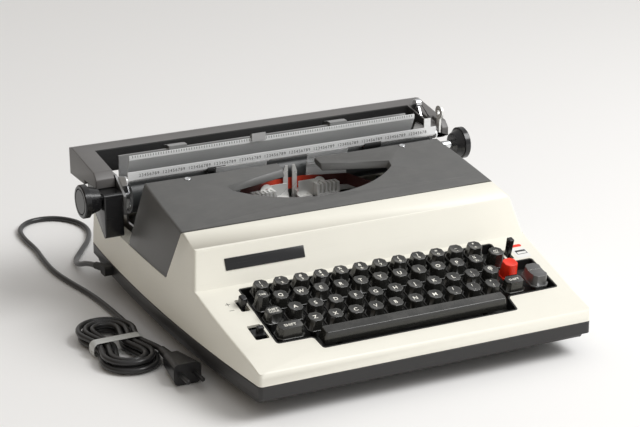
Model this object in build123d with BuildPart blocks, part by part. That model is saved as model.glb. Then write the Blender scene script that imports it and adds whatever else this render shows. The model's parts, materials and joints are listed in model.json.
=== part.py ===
from build123d import *
from math import acos, atan2, cos, hypot, pi, radians, sin, tan
import os

os.makedirs("parts", exist_ok=True)

# Electric typewriter. Millimetres, X to the right, Y to the back, Z up, the feet on Z = 0.

# Plan of the body at the joint between base and housing
body_depth = 388.0
front_half_width = 158.3
middle_half_width = 166.3
middle_y = -9.0
rear_half_width = 155.9
front_corner = 4.0
rear_corner = 12.0
shell_wall = 2.5
joint_level = 32.0
joint_gap = 0.8
fit_gap = 0.4
running_gap = 0.3
running_fit = 0.08

# Side draft of the housing: steep up to the draft level, leaning in above it
draft_level = 70.0
draft_inset = 2.1
top_level = 131.0
top_inset = 15.6

# Side profile of the housing, front to back
front_y = -body_depth / 2
rear_y = body_depth / 2
front_lean = 0.5
lip_level = 42.6
deck_rear_y = -74.0
deck_rear_level = 72.8
face_top_y = -60.7
face_top_level = 104.7
cover_front_y = -29.5
cover_front_level = 111.5
cover_rear_y = 64.0
cover_rear_level = 126.4
cover_foot_front_y = -16.0
cover_foot_rear_y = 76.0
cover_foot_round = 4.0
side_round = 2.5
rear_deck_level = 66.0
rear_deck_round = 8.0
cover_top_wall = 4.0
well_half_width = 148.0
well_rear_y = 158.0

deck_slope = atan2(deck_rear_level - lip_level, deck_rear_y - front_y)
face_slope = atan2(face_top_level - deck_rear_level, face_top_y - deck_rear_y)
cover_slope = atan2(cover_rear_level - cover_front_level, cover_rear_y - cover_front_y)

# Base tub
base_top = joint_level - joint_gap
base_band_level = 21.0
base_turn_level = 15.0
base_bottom = 7.0
base_step = 1.5
base_step_end = 5.0
base_turn_inset = 2.5
base_turn_end = 8.0
base_foot_inset = 9.0
base_foot_end = 50.0
floor_level = base_bottom + shell_wall
foot_x = 128.0
foot_front_y = -122.0
foot_rear_y = 122.0
foot_radius = 9.0
foot_stud = 3.0

# Keyboard, measured in the plane of the deck: u to the right, v up the slope
key_pitch = 19.05
key_rise = 9.0
key_height = 11.0
key_foot = 16.2
key_ledge = 1.0
key_ledge_height = 1.8
key_taper = 1.0
key_chamfer = 3.6
key_dish_radius = 20.0
key_dish_depth = 0.8
row_v = (107.6, 88.55, 69.5, 50.45)
row_u = (-108.9, -99.375, -94.6, -85.1)
row_count = (12, 11, 11, 10)
space_v = 31.4
space_half_width = 88.0
space_depth = 13.5
stem_thickness = 1.6
stem_width = 7.0
tall_key_extra = 4.0
opening_points = (
    (-126.6, 35.4), (-93.4, 35.0), (-92.0, 18.6), (95.5, 18.6), (97.4, 38.4),
    (148.5, 39.0), (149.0, 86.6), (125.0, 86.6), (125.0, 118.0), (-125.5, 118.0),
)
opening_round = 3.0
bezel_drop = 10.0
bezel_wall = 1.2
slot_length = 13.0
slot_width = 3.0

# Key levers turn on one shaft under the type basket
shaft_y = 20.0
shaft_z = 25.0
shaft_radius = 2.5
hub_radius = 5.5
hub_width = 3.0
lever_height = 6.0
lever_level = shaft_z - lever_height / 2

# Frame
frame_x = 141.0
frame_wall = 2.0
frame_foot = 12.0
frame_front_y = -178.0
frame_rear_y = 170.0
shelf_level = 86.0
shelf_wall = 2.0
shelf_inner_x = 62.0
shelf_front_y = -12.0
shelf_rear_y = 78.0
under_carriage = 68.0
cross_y = 96.0
rail_front_y = 135.0
rail_depth = 15.0
rail_height = 8.0

# Type basket: the bars lie on a tilted ring and meet at the print point
ring_y = 92.0
ring_z = 44.0
ring_radius = 34.0
ring_tilt = radians(15)
print_level = 106.0
bar_spread = 78.0
bar_count = 45
bar_rest = radians(20)
bar_width = 1.2
bar_height = 4.0
bar_slot = 1.6
wire_radius = 0.8
wire_seat = 0.2
slug_width = 3.2
slug_length = 9.0
slug_height = 2.6
segment_inner = 27.0
segment_outer = 41.0
segment_height = 11.0
rod_x = 46.0
rod_y = 89.0
rod_radius = 2.0
rod_bottom = 18.0
rod_top = 50.0
ear_bottom = 35.5
ear_height = 6.5

# Ribbon
spool_x = 88.0
spool_y = 15.0
spool_radius = 24.0
spool_winding = 19.0
spool_bore = 3.0
spool_level = 91.0
spool_flange = 1.2
ribbon_level = 94.0
ribbon_height = 11.0
ribbon_thickness = 0.4
ribbon_y = 79.2
ribbon_guide_x = 55.0
ribbon_guide_y = 67.0

# Drive
motor_y = 128.0
motor_z = 38.0
motor_radius = 25.0
motor_left_x = -136.0
motor_right_x = -72.0
motor_shaft_radius = 3.0
pulley_x = -64.0
pulley_width = 8.0
motor_pulley_radius = 7.0
roller_pulley_radius = 9.0
roller_y = 46.0
roller_z = 21.5
roller_radius = 7.0
roller_shaft_radius = 3.0
belt_width = 5.0
belt_thickness = 1.5

# Carriage, centred on X = 0 at rest
platen_y = 98.0
platen_z = 106.0
platen_radius = 17.0
platen_half = 155.0
platen_core_radius = 12.0
platen_shaft_radius = 4.0
ratchet_width = 2.0
ratchet_radius = 15.0
ratchet_teeth = 30
knob_radius = 15.5
knob_hub_radius = 10.5
knob_neck_radius = 13.8
knob_rim = 6.0
knob_end_x = 199.5
end_plate_x = 160.8
end_plate_wall = 2.2
box_left_x = -181.0
housing_left_x = -182.0
housing_right_x = 185.0
channel_left_x = -163.4
channel_right_x = 165.0
channel_rear_y = 151.0
housing_rear_y = 171.0
housing_front_y = 103.0
housing_bottom = 109.0
housing_wall = 2.5
bed_level = 96.0
bed_wall = 3.0
bail_angle = radians(35)
bail_roller_radius = 4.2
bail_arm_wall = 1.6
bail_scale_height = 7.5
bail_pivot_y = 108.0
bail_pivot_z = 116.0
bail_pin_radius = 2.0
rear_scale_y = 106.0
rear_scale_top = 139.5
rear_scale_height = 4.0
margin_rail_y = 128.0
margin_rail_top = 134.0

# Cord
cord_radius = 2.6
cord_lie = cord_radius + 0.1
hank_y = -5.0
hank_x = -208.0
hank_bow = 28.0
hank_waist = 20.0
hank_side = 30.0
hank_pitch = 6.7
hank_layer = 6.0
hank_level = 4.4
hank_stations = 8
hank_inner_turns = 2.5
plug_radius = 9.6
plug_length = 34.0
relief_y = 125.5
relief_z = 25.5
relief_block_length = 12.0
relief_block_height = 9.0
relief_block_round = 2.0
relief_outer_x = -170.2
relief_inner_x = -156.2


# Shared outlines

def plan_outline(side_inset, end_inset, level):
    """Plan of the body at one level, drawn in from its sides and ends."""
    front = front_y + end_inset
    rear = rear_y - end_inset
    front_x = front_half_width - side_inset
    middle_x = middle_half_width - side_inset
    rear_x = rear_half_width - side_inset
    with BuildSketch(Plane.XY.offset(level)) as outline:
        with BuildLine():
            Line((-front_x, front), (front_x, front))
            ThreePointArc((front_x, front), (middle_x, middle_y), (rear_x, rear))
            Line((rear_x, rear), (-rear_x, rear))
            ThreePointArc((-rear_x, rear), (-middle_x, middle_y), (-front_x, front))
        make_face()
        fillet(outline.vertices().group_by(Axis.Y)[0], front_corner)
        fillet(outline.vertices().group_by(Axis.Y)[-1], rear_corner)
    return outline.sketch


def inset_polygon(corners, depths):
    """Corners of a polygon whose sides each move inwards by their own depth."""
    moved = []
    for index, depth in enumerate(depths):
        start = Vector(*corners[index])
        end = Vector(*corners[(index + 1) % len(corners)])
        along = (end - start).normalized()
        inwards = Vector(-along.Y, along.X)
        moved.append((start + inwards * depth, along))
    result = []
    for index, (point, along) in enumerate(moved):
        before, heading = moved[index - 1]
        turn = heading.X * along.Y - heading.Y * along.X
        gap = point - before
        reach = (gap.X * along.Y - gap.Y * along.X) / turn
        result.append(before + heading * reach)
    return result


def profile(corners, foot_round=0.0):
    """Closed side profile, drawn in the plane of Y and Z, if wanted with a rounded front foot."""
    with BuildSketch(Plane.YZ) as outline:
        with BuildLine():
            Polyline(*corners, close=True)
        make_face()
        if foot_round > 0:
            fillet(outline.vertices().group_by(Axis.Y)[0].sort_by(Axis.X)[0], foot_round)
    return outline.sketch


def sheet_section(points, wall, plane):
    """Section of a bent sheet of even thickness that follows a line of points."""
    path = [Vector(*point) for point in points]
    left, right = [], []
    for index, point in enumerate(path):
        before = (point - path[index - 1]).normalized() if index else None
        after = (path[index + 1] - point).normalized() if index + 1 < len(path) else None
        heading = ((before or after) + (after or before)).normalized()
        across = Vector(-heading.Y, heading.X)
        square = before or after
        reach = wall / 2 / across.dot(Vector(-square.Y, square.X))
        left.append(point + across * reach)
        right.append(point - across * reach)
    with BuildSketch(plane) as section:
        with BuildLine():
            Polyline(*left, *reversed(right), close=True)
        make_face()
    return section.sketch


def ring_vectors(angle):
    """Outward and upward directions of the tilted ring at one angle from its front."""
    forward = Vector(0, -cos(ring_tilt), -sin(ring_tilt))
    up = Vector(0, -sin(ring_tilt), cos(ring_tilt))
    outward = Vector(1, 0, 0) * sin(radians(angle)) + forward * cos(radians(angle))
    return outward, up


# Planes of the sloping faces
deck = Plane(
    origin=(0, front_y, lip_level), x_dir=(1, 0, 0), z_dir=(0, -sin(deck_slope), cos(deck_slope))
)
face = Plane(
    origin=(0, deck_rear_y, deck_rear_level),
    x_dir=(1, 0, 0),
    z_dir=(0, -sin(face_slope), cos(face_slope)),
)
cover_top = Plane(
    origin=(0, cover_front_y, cover_front_level),
    x_dir=(1, 0, 0),
    z_dir=(0, -sin(cover_slope), cos(cover_slope)),
)


def on_deck(u, v, height=0.0):
    """Point above the deck, from its place in the deck's own plane."""
    return deck.from_local_coords(Vector(u, v, height))


# Outer body and its hollow, from which housing and cover are both cut
silhouette = (
    (front_y, joint_level),
    (rear_y, joint_level),
    (rear_y, rear_deck_level),
    (cover_foot_rear_y, rear_deck_level),
    (cover_rear_y, cover_rear_level),
    (cover_front_y, cover_front_level),
    (face_top_y, face_top_level),
    (deck_rear_y, deck_rear_level),
    (front_y + front_lean, lip_level + front_lean * tan(deck_slope)),
)
hollow_depths = (0, 0, shell_wall, 0, cover_top_wall, shell_wall, shell_wall, shell_wall, shell_wall)
hollow = inset_polygon(silhouette, hollow_depths)


with BuildPart() as body:
    extrude(profile(silhouette), amount=middle_half_width + 1, both=True)
    rear_edges = body.edges().filter_by(Axis.X).filter_by_position(Axis.Y, rear_y - 0.1, rear_y + 0.1)
    fillet(rear_edges.sort_by(Axis.Z)[-1], rear_deck_round)
    loft(
        [
            plan_outline(0, 0, joint_level),
            plan_outline(draft_inset, 0, draft_level),
            plan_outline(top_inset, 0, top_level),
        ],
        ruled=True,
        mode=Mode.INTERSECT,
    )

with BuildPart() as body_hollow:
    extrude(profile(hollow), amount=middle_half_width, both=True)
    loft(
        [
            plan_outline(shell_wall, shell_wall, joint_level),
            plan_outline(draft_inset + shell_wall, shell_wall, draft_level),
            plan_outline(top_inset + shell_wall, shell_wall, top_level),
        ],
        ruled=True,
        mode=Mode.INTERSECT,
    )

cover_outline = (
    (cover_foot_front_y, rear_deck_level),
    (cover_foot_rear_y, rear_deck_level),
    (cover_rear_y, cover_rear_level),
    (cover_front_y, cover_front_level),
)


def side_edges(part, start, end):
    """Long outer edges along both sides of the body, between two corners of its profile."""
    middle_y = (start[0] + end[0]) / 2
    middle_z = (start[1] + end[1]) / 2
    return [
        edge
        for edge in part.edges()
        if abs(edge.center().X) > front_half_width - 2 * top_inset
        and abs(edge.center().Y - middle_y) < 3
        and abs(edge.center().Z - middle_z) < 3
        and edge.length > abs(end[0] - start[0])
    ]


def outer_pair(edges):
    """The edge furthest to the left and the one furthest to the right."""
    across = sorted(edges, key=lambda edge: edge.center().X)
    return [across[0], across[-1]]


# Base tub with its stepped skirt, open at the top
with BuildPart() as base_tub:
    extrude(plan_outline(0, 0, base_band_level), amount=base_top - base_band_level)
    loft(
        [
            plan_outline(base_step, base_step_end, base_band_level),
            plan_outline(base_turn_inset, base_turn_end, base_turn_level),
        ],
        ruled=True,
    )
    loft(
        [
            plan_outline(base_turn_inset, base_turn_end, base_turn_level),
            plan_outline(base_foot_inset, base_foot_end, base_bottom),
        ],
        ruled=True,
    )
    extrude(
        plan_outline(shell_wall, shell_wall, base_band_level + shell_wall),
        amount=base_top - base_band_level,
        mode=Mode.SUBTRACT,
    )
    loft(
        [
            plan_outline(base_step + shell_wall, base_step_end + shell_wall, base_band_level + shell_wall),
            plan_outline(
                base_turn_inset + shell_wall, base_turn_end + shell_wall, base_turn_level + 1
            ),
        ],
        ruled=True,
        mode=Mode.SUBTRACT,
    )
    loft(
        [
            plan_outline(
                base_turn_inset + shell_wall, base_turn_end + shell_wall, base_turn_level + 1
            ),
            plan_outline(base_foot_inset + shell_wall, base_foot_end + shell_wall, floor_level),
        ],
        ruled=True,
        mode=Mode.SUBTRACT,
    )
    with BuildSketch(Plane.XY.offset(floor_level)) as pads:
        with GridLocations(2 * frame_x + frame_wall, 110, 2, 3):
            Rectangle(10, 14)
    extrude(amount=frame_foot - floor_level)
    with BuildSketch(Plane.XY.offset(base_bottom - 1)):
        with Locations((0, (foot_front_y + foot_rear_y) / 2)):
            with GridLocations(2 * foot_x, foot_rear_y - foot_front_y, 2, 2):
                Circle(foot_stud + fit_gap / 4)
    extrude(amount=shell_wall + 2, mode=Mode.SUBTRACT)
    with BuildSketch(Plane.YZ.offset(relief_outer_x)):
        with Locations((relief_y, relief_z)):
            RectangleRounded(relief_block_length, relief_block_height, relief_block_round)
    extrude(amount=relief_inner_x - relief_outer_x, mode=Mode.SUBTRACT)
base_tub.part.label = "base_tub"
export_step(base_tub.part, "parts/base_tub.step")

with BuildPart() as rubber_feet:
    with BuildSketch() as foot_rings:
        with Locations((0, (foot_front_y + foot_rear_y) / 2)):
            with GridLocations(2 * foot_x, foot_rear_y - foot_front_y, 2, 2):
                Circle(foot_radius)
    extrude(amount=base_bottom)
    chamfer(rubber_feet.faces().sort_by(Axis.Z)[:4].edges(), 0.8)
    with BuildSketch(Plane.XY.offset(base_bottom)):
        with Locations((0, (foot_front_y + foot_rear_y) / 2)):
            with GridLocations(2 * foot_x, foot_rear_y - foot_front_y, 2, 2):
                Circle(foot_stud)
    extrude(amount=shell_wall + 1)
rubber_feet.part.label = "rubber_feet"
export_step(rubber_feet.part, "parts/rubber_feet.step")

# Small controls beside the keyboard, as u, v in the deck plane
touch_u = -131.6
touch_v = 94.4
touch_slot_width = 8.0
touch_slot_length = 17.5
slider_u = -134.6
slider_v = 55.5
slider_slot_width = 12.4
slider_slot_length = 20.5
slider_travel = 5.0
power_u = 130.4
power_v = 97.0
power_slot_width = 6.4
power_slot_length = 14.0
pivot_drop = 9.0
pivot_radius = 1.2
touch_lug_u = 4.6

with BuildPart() as top_housing:
    add(body)
    add(body_hollow, mode=Mode.SUBTRACT)
    cover_cut = (
        (cover_foot_front_y - fit_gap, rear_deck_level),
        (cover_foot_rear_y + fit_gap, rear_deck_level),
        (cover_rear_y + fit_gap, top_level + 20),
        (cover_front_y - fit_gap, top_level + 20),
        (cover_front_y - fit_gap, cover_front_level),
    )
    extrude(
        profile(cover_cut, cover_foot_round + fit_gap),
        amount=middle_half_width + 2,
        both=True,
        mode=Mode.SUBTRACT,
    )
    with BuildSketch(Plane.XY.offset(rear_deck_level - rear_deck_round)):
        with Locations((0, (well_rear_y + cover_foot_front_y) / 2)):
            Rectangle(2 * well_half_width, well_rear_y - cover_foot_front_y)
    extrude(amount=2 * rear_deck_round, mode=Mode.SUBTRACT)
    with BuildSketch(deck) as keyboard_opening:
        with BuildLine():
            Polyline(*opening_points, close=True)
        make_face()
        fillet(keyboard_opening.vertices(), opening_round)
    extrude(amount=-(shell_wall + 4), mode=Mode.SUBTRACT)
    with BuildSketch(deck):
        with Locations((touch_u, touch_v)):
            RectangleRounded(touch_slot_width, touch_slot_length, 1.5)
        with Locations((slider_u, slider_v)):
            RectangleRounded(slider_slot_width, slider_slot_length, 1.5)
        with Locations((power_u, power_v)):
            RectangleRounded(power_slot_width, power_slot_length, 1.5)
    extrude(amount=-(shell_wall + 2), mode=Mode.SUBTRACT)
    touch_pivot = on_deck(touch_u, touch_v, -pivot_drop)
    for side in (-1, 1):
        with BuildSketch(deck.offset(-shell_wall)):
            with Locations((touch_u + side * touch_lug_u, touch_v)):
                Rectangle(2, 7)
        extrude(amount=-(pivot_drop + 3 - shell_wall))
    with BuildSketch(Plane.YZ.offset(touch_u)):
        with Locations((touch_pivot.Y, touch_pivot.Z)):
            Circle(pivot_radius + running_fit)
    extrude(amount=touch_lug_u + 2, both=True, mode=Mode.SUBTRACT)
    face_sides = side_edges(
        top_housing, (deck_rear_y, deck_rear_level), (face_top_y, face_top_level)
    )
    fillet(outer_pair(face_sides), side_round)
top_housing.part.label = "top_housing"
export_step(top_housing.part, "parts/top_housing.step")

# Bare plate on the front face
plate_u = -93.5
plate_v = 18.6
plate_width = 75.0
plate_height = 10.5
plate_wall = 0.8
with BuildPart() as name_plate:
    with BuildSketch(face):
        with Locations((plate_u, plate_v)):
            RectangleRounded(plate_width, plate_height, 0.6)
    extrude(amount=plate_wall)
    chamfer(name_plate.faces().sort_by(Axis.Y)[0].edges(), 0.2)
name_plate.part.label = "name_plate"
export_step(name_plate.part, "parts/name_plate.step")

# Lens opening of the ribbon cover, in plan
lens_front_y = -6.0
lens_corner_x = 77.0
lens_corner_y = 27.0
lens_wing_x = 78.0
lens_wing_y = 34.0
notch_half = 19.0
notch_y = 54.0
lens_lip = 6.0
wing_bevel = 8.0
screw_x = 110.0
screw_v = 91.0
screw_radius = 3.0


def lens_outline(grow, level):
    """Eye-shaped opening with its notch to the rear, grown by a margin."""
    with BuildSketch(Plane.XY.offset(level)) as outline:
        with BuildLine():
            ThreePointArc(
                (-lens_corner_x - grow, lens_corner_y),
                (0, lens_front_y - grow),
                (lens_corner_x + grow, lens_corner_y),
            )
            Polyline(
                (lens_corner_x + grow, lens_corner_y),
                (lens_wing_x + grow, lens_wing_y + grow / 2),
                (notch_half, notch_y - wing_bevel + grow),
                (notch_half, cover_rear_y + 20),
                (-notch_half, cover_rear_y + 20),
                (-notch_half, notch_y - wing_bevel + grow),
                (-lens_wing_x - grow, lens_wing_y + grow / 2),
                (-lens_corner_x - grow, lens_corner_y),
            )
        make_face()
    return outline.sketch


with BuildPart() as ribbon_cover:
    add(body)
    extrude(
        profile(cover_outline, cover_foot_round),
        amount=middle_half_width + 2,
        both=True,
        mode=Mode.INTERSECT,
    )
    add(body_hollow, mode=Mode.SUBTRACT)
    lip_plane = cover_top.offset(-lens_lip)
    with BuildSketch(lip_plane) as lip_area:
        with BuildLine():
            Polyline((-100, 12), (100, 12), (100, 92), (-100, 92), close=True)
        make_face()
    extrude(amount=lens_lip - cover_top_wall + 0.2)
    extrude(lens_outline(0, cover_front_level - 20), amount=60, mode=Mode.SUBTRACT)
    loft(
        [
            lens_outline(0, cover_rear_level - 13),
            lens_outline(wing_bevel, cover_rear_level + 3),
        ],
        ruled=True,
        mode=Mode.SUBTRACT,
    )
    with BuildSketch(cover_top.offset(1)):
        with Locations((-screw_x, screw_v), (screw_x, screw_v)):
            Circle(screw_radius + fit_gap)
    extrude(amount=-2.2, mode=Mode.SUBTRACT)
    cover_sides = side_edges(
        ribbon_cover, (cover_front_y, cover_front_level), (cover_rear_y, cover_rear_level)
    )
    fillet(outer_pair(cover_sides), side_round)
ribbon_cover.part.label = "ribbon_cover"
export_step(ribbon_cover.part, "parts/ribbon_cover.step")

with BuildPart() as cover_screws:
    with BuildSketch(cover_top.offset(-1.2)):
        with Locations((-screw_x, screw_v), (screw_x, screw_v)):
            Circle(screw_radius)
    extrude(amount=1.8)
    fillet(cover_screws.faces().sort_by(Axis.Z)[-2:].edges(), 0.5)
    with BuildSketch(cover_top.offset(0.8)):
        with Locations((-screw_x, screw_v), (screw_x, screw_v)):
            Rectangle(2 * screw_radius, 0.8, rotation=35)
    extrude(amount=-0.8, mode=Mode.SUBTRACT)
cover_screws.part.label = "cover_screws"
export_step(cover_screws.part, "parts/cover_screws.step")

# Steel frame: two side plates joined by cross members, with shelves for the spools
shelf_level_top = shelf_level + shelf_wall
side_plate = (
    (frame_front_y, 20), (-142, frame_foot), (130, frame_foot), (frame_rear_y, 19),
    (frame_rear_y, 58), (rail_front_y + rail_depth + 6, 60),
    (rail_front_y + rail_depth + 3, shelf_level), (rail_front_y - 3, shelf_level),
    (rail_front_y - 6, under_carriage), (shelf_rear_y + 4, under_carriage),
    (shelf_rear_y, shelf_level_top), (shelf_front_y, shelf_level_top),
    (shelf_front_y - 20, 62), (-80, 54), (frame_front_y, 32),
)
with BuildPart() as main_frame:
    for side in (-1, 1):
        with BuildSketch(Plane.YZ.offset(side * (frame_x + frame_wall / 2))) as plate_outline:
            with BuildLine():
                Polyline(*side_plate, close=True)
            make_face()
            with Locations((-95, 34), (0, 52), (82, 42)):
                Circle(13, mode=Mode.SUBTRACT)
            with Locations((shaft_y, shaft_z)):
                Circle(shaft_radius + fit_gap / 4, mode=Mode.SUBTRACT)
            with Locations((roller_y, roller_z)):
                Circle(roller_shaft_radius + running_fit, mode=Mode.SUBTRACT)
        extrude(amount=frame_wall / 2, both=True)
    inside = 2 * frame_x
    with BuildSketch(Plane.XZ.offset(-frame_front_y - 4)):
        with Locations((0, 26)):
            Rectangle(inside, 8)
    extrude(amount=3)
    with BuildSketch(Plane.XZ.offset(-frame_rear_y + 8)):
        with Locations((0, 36)):
            Rectangle(inside, 30)
    extrude(amount=-3)
    with BuildSketch(Plane.XZ.offset(-cross_y)):
        with Locations((0, 34)):
            Rectangle(inside, 36)
        with Locations((pulley_x, 31)):
            Rectangle(pulley_width + 10, 28, mode=Mode.SUBTRACT)
    extrude(amount=-3)
    with BuildSketch(Plane.XY.offset(shelf_level)):
        for side in (-1, 1):
            shelf_middle = side * (shelf_inner_x + frame_x) / 2
            with Locations((shelf_middle, (shelf_front_y + shelf_rear_y) / 2)):
                Rectangle(frame_x - shelf_inner_x + 1, shelf_rear_y - shelf_front_y)
    extrude(amount=shelf_wall)
    with BuildSketch(Plane.XY.offset(shelf_level_top)):
        with Locations((-spool_x, spool_y), (spool_x, spool_y)):
            Circle(7)
    extrude(amount=spool_level - shelf_level_top - running_gap)
    with BuildSketch(Plane.XY.offset(shelf_level_top)):
        with Locations((-spool_x, spool_y), (spool_x, spool_y)):
            Circle(spool_bore - running_fit)
    extrude(amount=20)
    with BuildSketch(Plane.XY.offset(rod_bottom)):
        for side in (-1, 1):
            with Locations((side * rod_x, rod_y)):
                Circle(rod_radius)
    extrude(amount=rod_top - rod_bottom)
    with BuildSketch(Plane.XY.offset(rod_bottom)):
        for side in (-1, 1):
            with Locations((side * rod_x, (rod_y - 4 + cross_y + 1) / 2)):
                Rectangle(8, cross_y + 1 - rod_y + 4)
    extrude(amount=4)
main_frame.part.label = "main_frame"
export_step(main_frame.part, "parts/main_frame.step")

# Rail that the carriage runs on, with a groove along the front and the back
with BuildPart() as carriage_rail:
    with BuildSketch(Plane.YZ) as rail_section:
        with Locations((rail_front_y + rail_depth / 2, shelf_level + rail_height / 2)):
            Rectangle(rail_depth, rail_height)
        with Locations(
            (rail_front_y, shelf_level + rail_height / 2),
            (rail_front_y + rail_depth, shelf_level + rail_height / 2),
        ):
            RegularPolygon(2.2, 4, rotation=0, mode=Mode.SUBTRACT)
    extrude(amount=frame_x + 2, both=True)
carriage_rail.part.label = "carriage_rail"
export_step(carriage_rail.part, "parts/carriage_rail.step")

with BuildPart() as lever_shaft:
    with BuildSketch(Plane.YZ):
        with Locations((shaft_y, shaft_z)):
            Circle(shaft_radius)
    extrude(amount=frame_x + 3, both=True)
    chamfer(lever_shaft.faces().filter_by(Axis.X).edges(), 0.4)
lever_shaft.part.label = "lever_shaft"
export_step(lever_shaft.part, "parts/lever_shaft.step")

# Keys: name, u, v, width, depth, extra height, lever x
special_keys = {
    "tab_key": (-116.8, row_v[1], 13.8, 15.0, tall_key_extra, -113.5),
    "shift_lock": (-114.6, row_v[2], 17.6, 15.4, 0.0, -118.0),
    "shift_left": (-110.0, 46.8, 25.8, 15.4, 0.0, -121.8),
    "shift_right": (108.3, row_v[3], 20.8, 15.4, 0.0, 109.9),
    "backspace_key": (111.2, row_v[1], 16.2, 16.2, tall_key_extra, 114.6),
    "red_key": (114.5, row_v[2], 16.2, 16.2, tall_key_extra, 119.3),
    "return_key": (134.5, 56.9, 17.8, 24.8, 0.0, 134.5),
}
space_lever_x = (-104.1, 105.3)
space_stem_x = 70.0
row_keys = {}
for number in range(4):
    row_keys[f"keys_row_{number + 1}"] = [
        (row_u[number] + key_pitch * place, row_v[number]) for place in range(row_count[number])
    ]
centre_place = 5
centre_key_u = row_keys["keys_row_3"][centre_place][0]


def key_cap(u, v, foot_u, foot_v, height):
    """Moulded key with bevelled corners and a dished top, standing above the deck."""
    base = on_deck(u, v, key_rise - key_height)
    base_plane = Plane(origin=base, x_dir=deck.x_dir, z_dir=deck.z_dir)
    with BuildPart() as cap:
        with BuildSketch(base_plane) as ledge:
            Rectangle(foot_u, foot_v)
            chamfer(ledge.vertices(), key_chamfer)
        extrude(amount=key_ledge_height)
        for level, inset in ((key_ledge_height / 2, key_ledge), (height, key_ledge + key_taper)):
            with BuildSketch(base_plane.offset(level)) as section:
                Rectangle(foot_u - 2 * inset, foot_v - 2 * inset)
                chamfer(section.vertices(), key_chamfer - 0.3 * inset)
        loft(ruled=True)
        dish_centre = Location(base_plane.offset(height + key_dish_radius - key_dish_depth))
        with Locations(dish_centre):
            if foot_u == foot_v:
                Sphere(key_dish_radius, mode=Mode.SUBTRACT)
            else:
                Cylinder(key_dish_radius, foot_u * 2, rotation=(0, 90, 0), mode=Mode.SUBTRACT)
    return cap.part


def key_lever(lever_x, u, v):
    """Steel lever from the shaft to the stem under one key."""
    under = on_deck(u, v, key_rise - key_height)
    stem_top = under.Z + 1
    with BuildPart() as lever:
        with BuildSketch(Plane.YZ.offset(lever_x)):
            with Locations(((under.Y - stem_width / 2 + shaft_y) / 2, shaft_z)):
                Rectangle(shaft_y - under.Y + stem_width / 2, lever_height)
            with Locations((under.Y, (lever_level + stem_top) / 2)):
                Rectangle(stem_width, stem_top - lever_level)
        extrude(amount=stem_thickness / 2, both=True)
        with BuildSketch(Plane.YZ.offset(lever_x)):
            with Locations((shaft_y, shaft_z)):
                Circle(hub_radius)
        extrude(amount=hub_width / 2, both=True)
        with BuildSketch(Plane.YZ.offset(lever_x)):
            with Locations((shaft_y, shaft_z)):
                Circle(shaft_radius + fit_gap / 4)
        extrude(amount=hub_width, both=True, mode=Mode.SUBTRACT)
    return lever.part


# Dark plate between the keys, let into the opening, with a slot for every stem
bezel_slots = [(u, v) for keys in row_keys.values() for u, v in keys]
bezel_slots += [(key[5], key[1]) for key in special_keys.values()]
bezel_slots += [(-space_stem_x, space_v), (space_stem_x, space_v)]
stem_lean = bezel_drop * tan(deck_slope)
with BuildPart() as key_bezel:
    with BuildSketch(deck.offset(-bezel_drop - bezel_wall)) as bezel_plate:
        with BuildLine():
            Polyline(*opening_points, close=True)
        make_face()
        fillet(bezel_plate.vertices(), opening_round)
        offset(amount=-fit_gap, mode=Mode.REPLACE)
    extrude(amount=bezel_drop + bezel_wall)
    with BuildSketch(deck.offset(-bezel_drop)) as bezel_hollow:
        with BuildLine():
            Polyline(*opening_points, close=True)
        make_face()
        fillet(bezel_hollow.vertices(), opening_round)
        offset(amount=-fit_gap - bezel_wall, mode=Mode.REPLACE)
    extrude(amount=bezel_drop + 1, mode=Mode.SUBTRACT)
    with BuildSketch(deck.offset(-bezel_drop - bezel_wall - 1)):
        for u, v in bezel_slots:
            with Locations((u, v - stem_lean)):
                Rectangle(slot_width, slot_length)
    extrude(amount=bezel_wall + 2, mode=Mode.SUBTRACT)
key_bezel.part.label = "key_bezel"
export_step(key_bezel.part, "parts/key_bezel.step")

# Four rows of keys; the key in the middle of the third row works its own type bar
for name, keys in row_keys.items():
    with BuildPart() as key_row:
        for u, v in keys:
            if name == "keys_row_3" and u == centre_key_u:
                continue
            add(key_cap(u, v, key_foot, key_foot, key_height))
            add(key_lever(u, u, v))
    key_row.part.label = name
    export_step(key_row.part, f"parts/{name}.step")

with BuildPart() as centre_key:
    add(key_cap(centre_key_u, row_v[2], key_foot, key_foot, key_height))
    add(key_lever(centre_key_u, centre_key_u, row_v[2]))
centre_key.part.label = "centre_key"
export_step(centre_key.part, "parts/centre_key.step")

for name, (u, v, foot_u, foot_v, extra, lever_x) in special_keys.items():
    with BuildPart() as special_key:
        add(key_cap(u, v, foot_u, foot_v, key_height + extra))
        add(key_lever(lever_x, u, v))
    special_key.part.label = name
    export_step(special_key.part, f"parts/{name}.step")

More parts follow.
